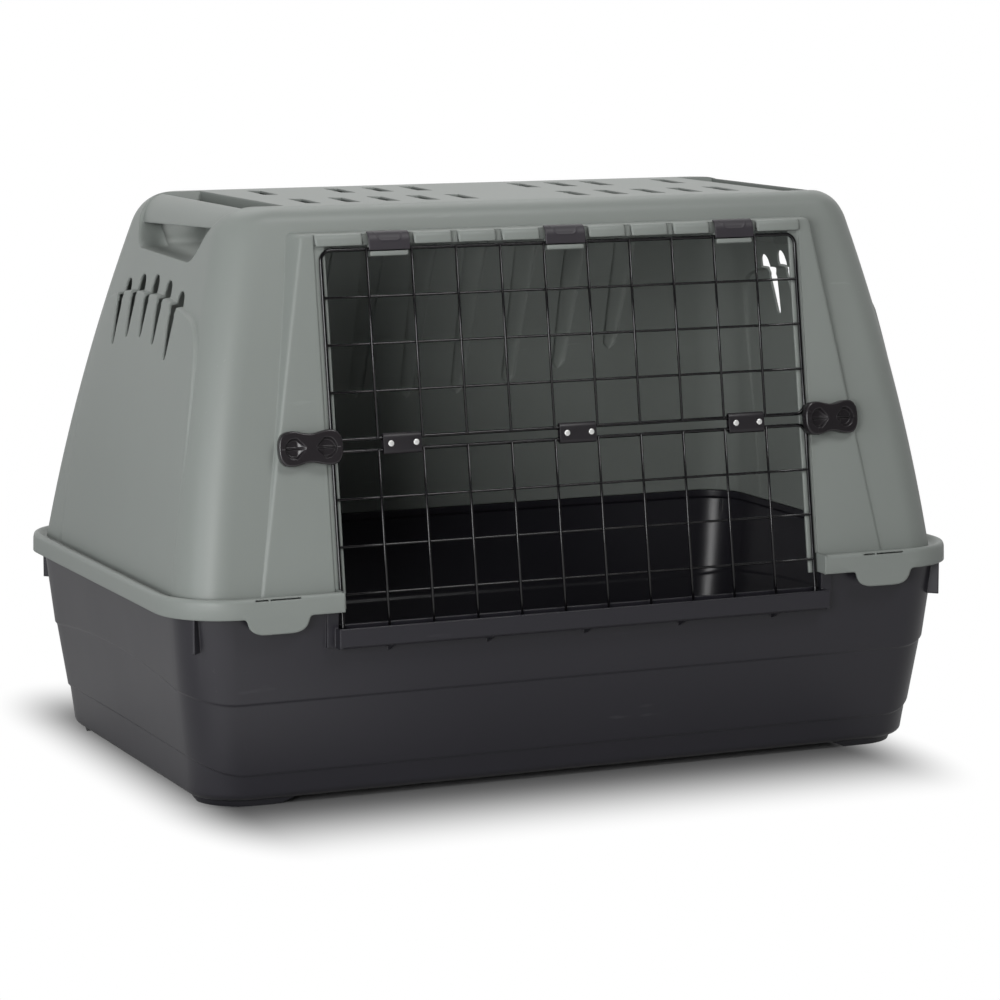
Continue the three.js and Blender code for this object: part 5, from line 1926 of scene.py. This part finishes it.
@dataclass
class HingeClips:
    """Curved covers over the hinge wire, each with a fine raised line on its front."""

    width: float = 50
    wall: float = 1.6
    head: float = 20.2
    line_rise: float = 0.35
    line_width: float = 0.8
    line: Curve = ((-18.5, 1.5), (-12.5, 12.5), (-9.5, 14.2), (9.5, 14.2), (12.5, 12.5), (15.0, 6.5))
    foot: float = 1.6
    edge_fall: float = 0.5
    edge_width: float = 0.7

    def build(self, cell: int) -> Solid:
        """Make one clip from a grid over its profile and its width.

        Args:
            cell: Number of its cell.

        Returns:
            The clip.
        """
        front = DOOR.frame_radius + SIZE.fit + self.wall + 2
        top, back = self.head, DOOR.seat + SIZE.fit
        curve = traced(
            (back + 1.2, top),
            [(front - 3.4, top - 0.6), (front, top - 5.5), (front, top - 12)],
            [(front, -self.foot)],
            steps=26,
        )
        span = curve[-2] + (curve[-1] - curve[-2]) * np.linspace(0.1, 1, 12)[:, None]
        curve = np.concatenate([curve[:-1], span])
        steps = np.linalg.norm(np.diff(curve, axis=0), axis=1)
        run = np.concatenate([[0], np.cumsum(steps)])
        tangent = np.gradient(curve, axis=0)
        tangent /= np.linalg.norm(tangent, axis=1, keepdims=True)
        normal = np.column_stack([-tangent[:, 1], tangent[:, 0]])
        x = np.linspace(-self.width / 2, self.width / 2, 91)
        grid_x, grid_run = np.meshgrid(x, run, indexing="ij")
        away = self.distance(grid_x, grid_run, np.array(self.line)) / self.line_width
        edge = np.minimum(self.width / 2 - np.abs(grid_x), run[-1] - grid_run)
        raised = self.line_rise * np.exp(-(away**2)) - self.edge_fall * (1 - smooth_step(edge, 0, self.edge_width))
        rings = []
        for place, rise in zip(x, raised):
            outer, inner = curve + normal * rise[:, None], curve - normal * self.wall
            flat = np.concatenate([outer, inner[::-1]])
            rings.append(np.column_stack([np.full(len(flat), place), flat[:, 1], flat[:, 0]]))
        return Solid.skin(rings).placed(DOOR.placing(DOOR.cell_middle(cell), 0))

    @staticmethod
    def distance(x: Points, run: Points, path: Points) -> Points:
        """Distance of places on the clip's front from a path of straight pieces.

        Args:
            x: Places across.
            run: Places along the profile.
            path: Corners of the path.

        Returns:
            The distances.
        """
        best = np.full(x.shape, np.inf)
        for start, end in zip(path[:-1], path[1:]):
            way = end - start
            share = np.clip(((x - start[0]) * way[0] + (run - start[1]) * way[1]) / (way @ way), 0, 1)
            gap = np.hypot(x - start[0] - share * way[0], run - start[1] - share * way[1])
            best = np.minimum(best, gap)
        return best

    def dress(self, looks: Finishes) -> None:
        """Build the three clips and put them in place of their plain solids.

        Args:
            looks: The finishes.
        """
        for name, cell in zip(("left", "middle", "right"), DOOR.clip_cells):
            clip, node = self.build(cell), f"hinge_clip_{name}"
            clip.stand_for(node, "carrier", "clip_plastic", f"hinge_cover_{name}", looks.clip, crease=50)


@dataclass
class JointClips:
    """Sheet straps rolled round the two wires at the fold, each held by two rivets."""

    width: float = 46.4
    wall: float = 1.2
    thickness: float = 7.6
    height: float = 24
    shift: float = 2.1
    corner: float = 2.2
    rivet: float = 4
    head: float = 7
    head_height: float = 1.2
    rivet_places: tuple[float, float] = (-12.3, 18.4)
    edge: float = 0.4
    head_edge: float = 0.3

    def build(self, cell: int) -> Solid:
        """Make one strap.

        Args:
            cell: Number of its cell.

        Returns:
            The strap.
        """
        deep, reach = self.thickness / 2, DOOR.fold_gap / 2
        high = self.height / 2
        turns = np.linspace(0, math.pi, 15)
        over = [(deep * math.cos(a), reach + (high - reach) * math.sin(a)) for a in turns]
        under = [(-out, -up) for out, up in over]
        drop = [0, -DOOR.fold_middle]
        middle, half = DOOR.cell_middle(cell), self.width / 2
        ends = middle + self.shift - half, middle + self.shift + half
        strap = Solid.prism(np.array(over + under) + drop, Lie.DOOR, *ends, rounding=self.edge)
        circle = np.linspace(0, 2 * math.pi, 24, endpoint=False)
        eye = np.column_stack([(deep - self.wall) * np.cos(circle), (high - reach - self.wall) * np.sin(circle)])
        for up in (-reach, reach):
            strap = strap - Solid.prism(eye + [0, up] + drop, Lie.DOOR, ends[0] - 5, ends[1] + 5)
        high += 0.5
        sheet = [(-half, -high), (half, -high), (half, high), (-half, high)]
        plate = Solid.prism(rounded(sheet, self.corner), Lie.UPRIGHT, -2 * deep, 2 * deep)
        strap = strap & plate.placed(DOOR.placing(middle + self.shift, -DOOR.fold_middle))
        for place in self.rivet_places:
            radius = self.rivet / 2 + SIZE.fit
            bore = lathe([(radius, -2 * deep), (radius, 2 * deep)], 24)
            strap = strap - bore.placed(DOOR.placing(middle + place, -DOOR.fold_middle))
        return strap

    def build_rivet(self, cell: int, place: float) -> Solid:
        """Make one rivet with a domed head on each side.

        Args:
            cell: Number of the strap's cell.
            place: Its X from the cell's middle.

        Returns:
            The rivet.
        """
        face = self.thickness / 2 + SIZE.fit
        head, shank, top = self.head / 2, self.rivet / 2, face + self.head_height
        base = face + self.head_edge
        dome = [(head * math.cos(a), base + (top - base) * math.sin(a)) for a in np.linspace(0, 1.45, 8)]
        dome.append((0.02, top))
        upper = [(shank, face), (head - 0.2, face), *dome]
        profile = [(radius, -height) for radius, height in reversed(upper)] + upper
        return lathe(profile, 32).placed(DOOR.placing(DOOR.cell_middle(cell) + place, -DOOR.fold_middle))

    def dress(self, looks: Finishes) -> None:
        """Build the straps and rivets and put them in place of their plain solids.

        Args:
            looks: The finishes.
        """
        for name, cell in zip(("left", "middle", "right"), DOOR.clip_cells):
            strap, node = self.build(cell), f"joint_clip_{name}"
            strap.stand_for(node, "fold_clips", "joint_sheet", f"fold_strap_{name}", looks.sheet, crease=40)
            for letter, place in zip("ab", self.rivet_places):
                key = f"{name}_{letter}"
                rivet = self.build_rivet(cell, place)
                rivet.stand_for(f"rivet_{key}", "fold_clips", "rivet_metal", f"rivet_head_{key}", looks.rivet)


# ---- latches ------------------------------------------------------------------------------


@dataclass
class Latches:
    """Turning latches: a bone-shaped plate with two fan-shaped finger hollows and a rib in each."""

    length: float = 74
    height: float = 39.5
    waist: float = 32.5
    thickness: float = 10
    edge: float = 2.2
    hollow_start: float = 3.5
    hollow_end: float = 29.5
    hollow_half: float = 11.8
    hollow_depth: float = 5.2
    hollow_bend: float = 11
    hollow_widening: float = 0.95
    hollow_run: float = 13
    rib_half: float = 1.0
    rib_share: float = 0.5
    socket: float = 6
    spindle: float = 10

    def outline(self, shrink: float) -> Points:
        """Bone-shaped outline with nearly straight ends, drawn in all round.

        Args:
            shrink: How far it is drawn in.

        Returns:
            The outline's points.
        """
        length, height = self.length / 2 - shrink, self.height / 2 - shrink
        waist = self.waist / 2 - shrink
        right = traced(
            (0, -waist),
            [(0.26 * length, -waist), (0.36 * length, -height), (0.6 * length, -height)],
            [(0.76 * length, -height), (0.86 * length, -0.93 * height), (0.93 * length, -0.68 * height)],
            [(length, -0.45 * height), (length, -0.2 * height), (length, 0)],
            steps=22,
        )
        upper = right[::-1][1:] * [1, -1]
        half = np.concatenate([right, upper])
        return np.concatenate([half, (half * [-1, 1])[::-1][1:-1]])

    def relief(self, x: Points, y: Points) -> Points:
        """Height of the top at places in the knob's frame.

        Args:
            x: Places along the knob.
            y: Places across it.

        Returns:
            The heights.
        """
        away = np.abs(x)
        half = np.clip(self.hollow_widening * (away - self.hollow_start), 0.3, self.hollow_half)
        turn = ((away - self.hollow_end + self.hollow_bend) / self.hollow_bend).clip(0, 1)
        half = half * np.sqrt(np.clip(1 - turn**2, 0, 1))
        inside = smooth_step(half - np.abs(y), -0.5, 3.2)
        floor = self.hollow_depth * smooth_step(away, self.hollow_start - 1, self.hollow_start + self.hollow_run)
        rib = self.rib_share * np.exp(-((y / self.rib_half) ** 2)) * smooth_step(self.hollow_end - away, 0, 4)
        return self.thickness - inside * floor * (1 - rib)

    def build(self, place: Callable[[Points], Points]) -> Solid:
        """Make one knob on its seat.

        Args:
            place: Function that puts the knob in its place.

        Returns:
            The knob.
        """
        low, bend = SIZE.fit, self.edge
        rings = [np.column_stack([self.outline(0.5), np.full(len(self.outline(0)), low)])]
        rings.append(np.column_stack([self.outline(0), np.full(len(rings[0]), low + 0.5)]))
        for angle in np.linspace(0, math.pi / 2, 7):
            gone = bend * (1 - math.cos(angle))
            z = low + self.thickness - bend * (1 - math.sin(angle))
            rings.append(np.column_stack([self.outline(gone), np.full(len(rings[0]), z)]))
        rim = self.outline(bend)
        for share in [*np.linspace(0.985, 0.04, 64), 0.01]:
            flat = rim * share
            z = low + self.relief(flat[:, 0], flat[:, 1])
            rings.append(np.column_stack([flat, z]))
        rings[-1][:, 2] = rings[-1][:, 2].mean()
        radius = self.spindle / 2 + SIZE.fit
        socket = lathe([(radius, -1), (radius, low + self.socket)], 32)
        return (Solid.skin(rings) - socket).placed(place)

    def dress(self, looks: Finishes, shell: Shell) -> None:
        """Build both knobs and finish the pins and rings behind them.

        Args:
            looks: The finishes.
            shell: The shell that carries them.
        """
        for name, side in (("left", -1), ("right", 1)):
            knob = self.build(shell.latch_place(side))
            knob.stand_for(
                f"latch_knob_{name}", f"latch_{name}", "latch_plastic", f"latch_grip_{name}", looks.latch, crease=50
            )
            for node in (f"latch_spindle_{name}", f"latch_retainer_{name}"):
                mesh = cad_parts[node].data
                mesh.materials.clear()
                mesh.materials.append(looks.latch)
                LOG.info("%s: plain solid in its finish", node)


# ---- studio -------------------------------------------------------------------------------


@dataclass(frozen=True)
class SoftLamp:
    """A plain rectangular lamp aimed at the carrier; lengths in metres."""

    name: str
    place: tuple[float, float, float]
    size: tuple[float, float]
    power: float
    tint: Shade = (1.0, 1.0, 1.0)

    def hang(self, target: Vector) -> None:
        """Put the lamp into the scene.

        Args:
            target: What it is aimed at.
        """
        light = bpy.data.lights.new(self.name, "AREA")
        light.shape = "RECTANGLE"
        light.size, light.size_y = self.size
        light.energy = self.power
        light.color = self.tint
        lamp = bpy.data.objects.new(self.name, light)
        lamp.location = self.place
        lamp.rotation_euler = (target - lamp.location).to_track_quat("-Z", "Y").to_euler()
        bpy.context.scene.collection.objects.link(lamp)


@dataclass
class Studio:
    """Floor with a painted shadow round the carrier, white surroundings, soft lamps and the camera; lengths in metres.
    """

    camera_place: tuple[float, float, float] = (-1.7650, -3.9965, 0.9498)
    target: tuple[float, float, float] = (0.0143, -0.0127, 0.2895)
    lens: float = 130.55
    aim: float = 0.3
    floor_half: float = 14.0
    # Floor tone that the camera sees near the carrier, darker than the tone it bounces: painted shadow.
    painted_shadow_floor_tone: float = 0.2
    floor_bounce: float = 0.45
    front_light: float = 0.0
    back_light: float = 0.93
    light_turn: float = 0.6
    soft_share: float = 0.42
    floor_glow: float = 0.27
    # Painted reflection: extra floor glow before the front-left corner, seen only in reflections, and its reach in X
    # and Y.
    painted_corner_reflection: float = 0.7
    painted_reflection_reach: Curve = ((-0.4, -0.05), (-0.45, -0.2))
    # Middle, core and fade of the painted shadow round the carrier, where the floor is dark to the camera.
    shadow_middle: float = -0.03
    shadow_core: tuple[float, float] = (0.38, 0.25)
    shadow_fade: tuple[float, float] = (0.12, 0.28)
    lamps: tuple[SoftLamp, ...] = (
        SoftLamp("left_lamp", (-3.1, -1.45, 0.75), (1.4, 1.5), 25, (0.94, 0.97, 1.0)),
        SoftLamp("front_lamp", (-2.85, -3.5, 1.15), (1.5, 1.8), 92),
        SoftLamp("top_lamp", (0.2, 0.9, 2.6), (2.2, 1.6), 20),
        SoftLamp("fill_lamp", (0.8, -2.5, 2.9), (1.4, 1.0), 40),
    )

    def light_world(self) -> None:
        """White to the camera; to the carrier bright behind it and dark before it."""
        world = bpy.data.worlds.new("white_room")
        bpy.context.scene.world = world
        graph = Graph(world)
        path = graph.add("ShaderNodeLightPath")
        values = {0: graph.axis("Y"), 1: -self.light_turn, 2: self.light_turn, 3: self.front_light, 4: self.back_light}
        room = graph.add("ShaderNodeMapRange", {"clamp": True}, values)
        soft = 1.0 - path.output("Is Diffuse Ray") * (1 - self.soft_share)
        seen = path.output("Is Camera Ray")
        strength = room * soft * (1.0 - seen) + seen
        back = graph.add("ShaderNodeBackground", None, {"Color": (1, 1, 1, 1), "Strength": strength})
        graph.add("ShaderNodeOutputWorld", None, {"Surface": back})

    def outward(self, graph: Graph) -> Signal:
        """Distance outside the painted shadow's core, as a share of its fade.

        Args:
            graph: Nodes of the floor.

        Returns:
            0 in the core, 1 at the end of the fade.
        """
        beyond = []
        for axis, shift, core, fade in zip("XY", (self.shadow_middle, 0.0), self.shadow_core, self.shadow_fade):
            away = graph.add("ShaderNodeMath", {"operation": "ABSOLUTE"}, {0: graph.axis(axis) - shift})
            over = graph.add("ShaderNodeMath", {"operation": "MAXIMUM"}, {0: away - core, 1: 0.0}) * (1 / fade)
            beyond.append(over * over)
        return graph.add("ShaderNodeMath", {"operation": "SQRT"}, {0: beyond[0] + beyond[1]})

    def lay_floor(self) -> None:
        """A floor that keeps the carrier's shadow and turns plain white further out; near the carrier it is darker to
        the camera than to the light, a painted shadow, and reflections see a painted bright patch before its
        front-left corner.
        """
        half = self.floor_half
        mesh = bpy.data.meshes.new("studio_floor")
        corners = [(-half, -half, 0), (half, -half, 0), (half, half, 0), (-half, half, 0)]
        mesh.from_pydata(corners, [], [(0, 1, 2, 3)])
        graph = Graph.named("studio_floor")
        path = graph.add("ShaderNodeLightPath")
        # Painted shadow: to the camera the floor is darker than to the light it bounces.
        tone = graph.mix(path.output("Is Camera Ray"), (self.floor_bounce,) * 3, (self.painted_shadow_floor_tone,) * 3)
        tone = graph.mix(graph.noise(900, 2) * 0.02, tone, (0, 0, 0))
        plain = graph.add("ShaderNodeBsdfDiffuse", None, {"Color": tone})
        glow = graph.add("ShaderNodeEmission", None, {"Color": (1, 1, 1, 1), "Strength": 1.0})
        # Painted reflection: a patch before the carrier's front-left corner glows more to reflected rays only, laying
        # a highlight on the tub's corner.
        corner = self.painted_corner_reflection
        for axis, reach in zip("XY", self.painted_reflection_reach):
            corner = (1.0 - graph.between(graph.axis(axis), *reach)) * corner
        mirrored = path.output("Is Glossy Ray") * (corner + self.floor_glow)
        rays = path.output("Is Camera Ray") + path.output("Is Transmission Ray") + mirrored
        share = graph.between(self.outward(graph), 0, 1) * rays
        mixed = graph.add("ShaderNodeMixShader", None, {0: share, 1: plain, 2: glow})
        graph.add("ShaderNodeOutputMaterial", None, {"Surface": mixed})
        mesh.materials.append(graph.owner)
        floor = bpy.data.objects.new("studio_floor", mesh)
        bpy.context.scene.collection.objects.link(floor)

    def set_camera(self) -> None:
        """The camera at the photograph's viewing angle."""
        data = bpy.data.cameras.new("photo_camera")
        data.lens = self.lens
        data.sensor_width = 36
        data.clip_end = 100
        camera = bpy.data.objects.new("photo_camera", data)
        camera.location = self.camera_place
        way = Vector(self.target) - camera.location
        camera.rotation_euler = way.to_track_quat("-Z", "Y").to_euler()
        bpy.context.scene.collection.objects.link(camera)
        bpy.context.scene.camera = camera

    def build(self) -> None:
        """Set up everything round the carrier."""
        bpy.context.scene.view_settings.view_transform = "Standard"
        self.light_world()
        self.lay_floor()
        for lamp in self.lamps:
            lamp.hang(Vector((0, 0, self.aim)))
        self.set_camera()
        LOG.info("studio: %d lamps", len(self.lamps))


def main() -> None:
    """Build the carrier piece by piece, then the studio."""
    logging.basicConfig(level=logging.INFO, format="%(name)s: %(message)s")
    looks = Finishes()
    shell = Shell()
    shell.dress(looks)
    Tub().dress(looks)
    WireDoor().dress(looks)
    HingeClips().dress(looks)
    JointClips().dress(looks)
    Latches().dress(looks, shell)
    Studio().build()


if __name__ == "__main__":
    main()
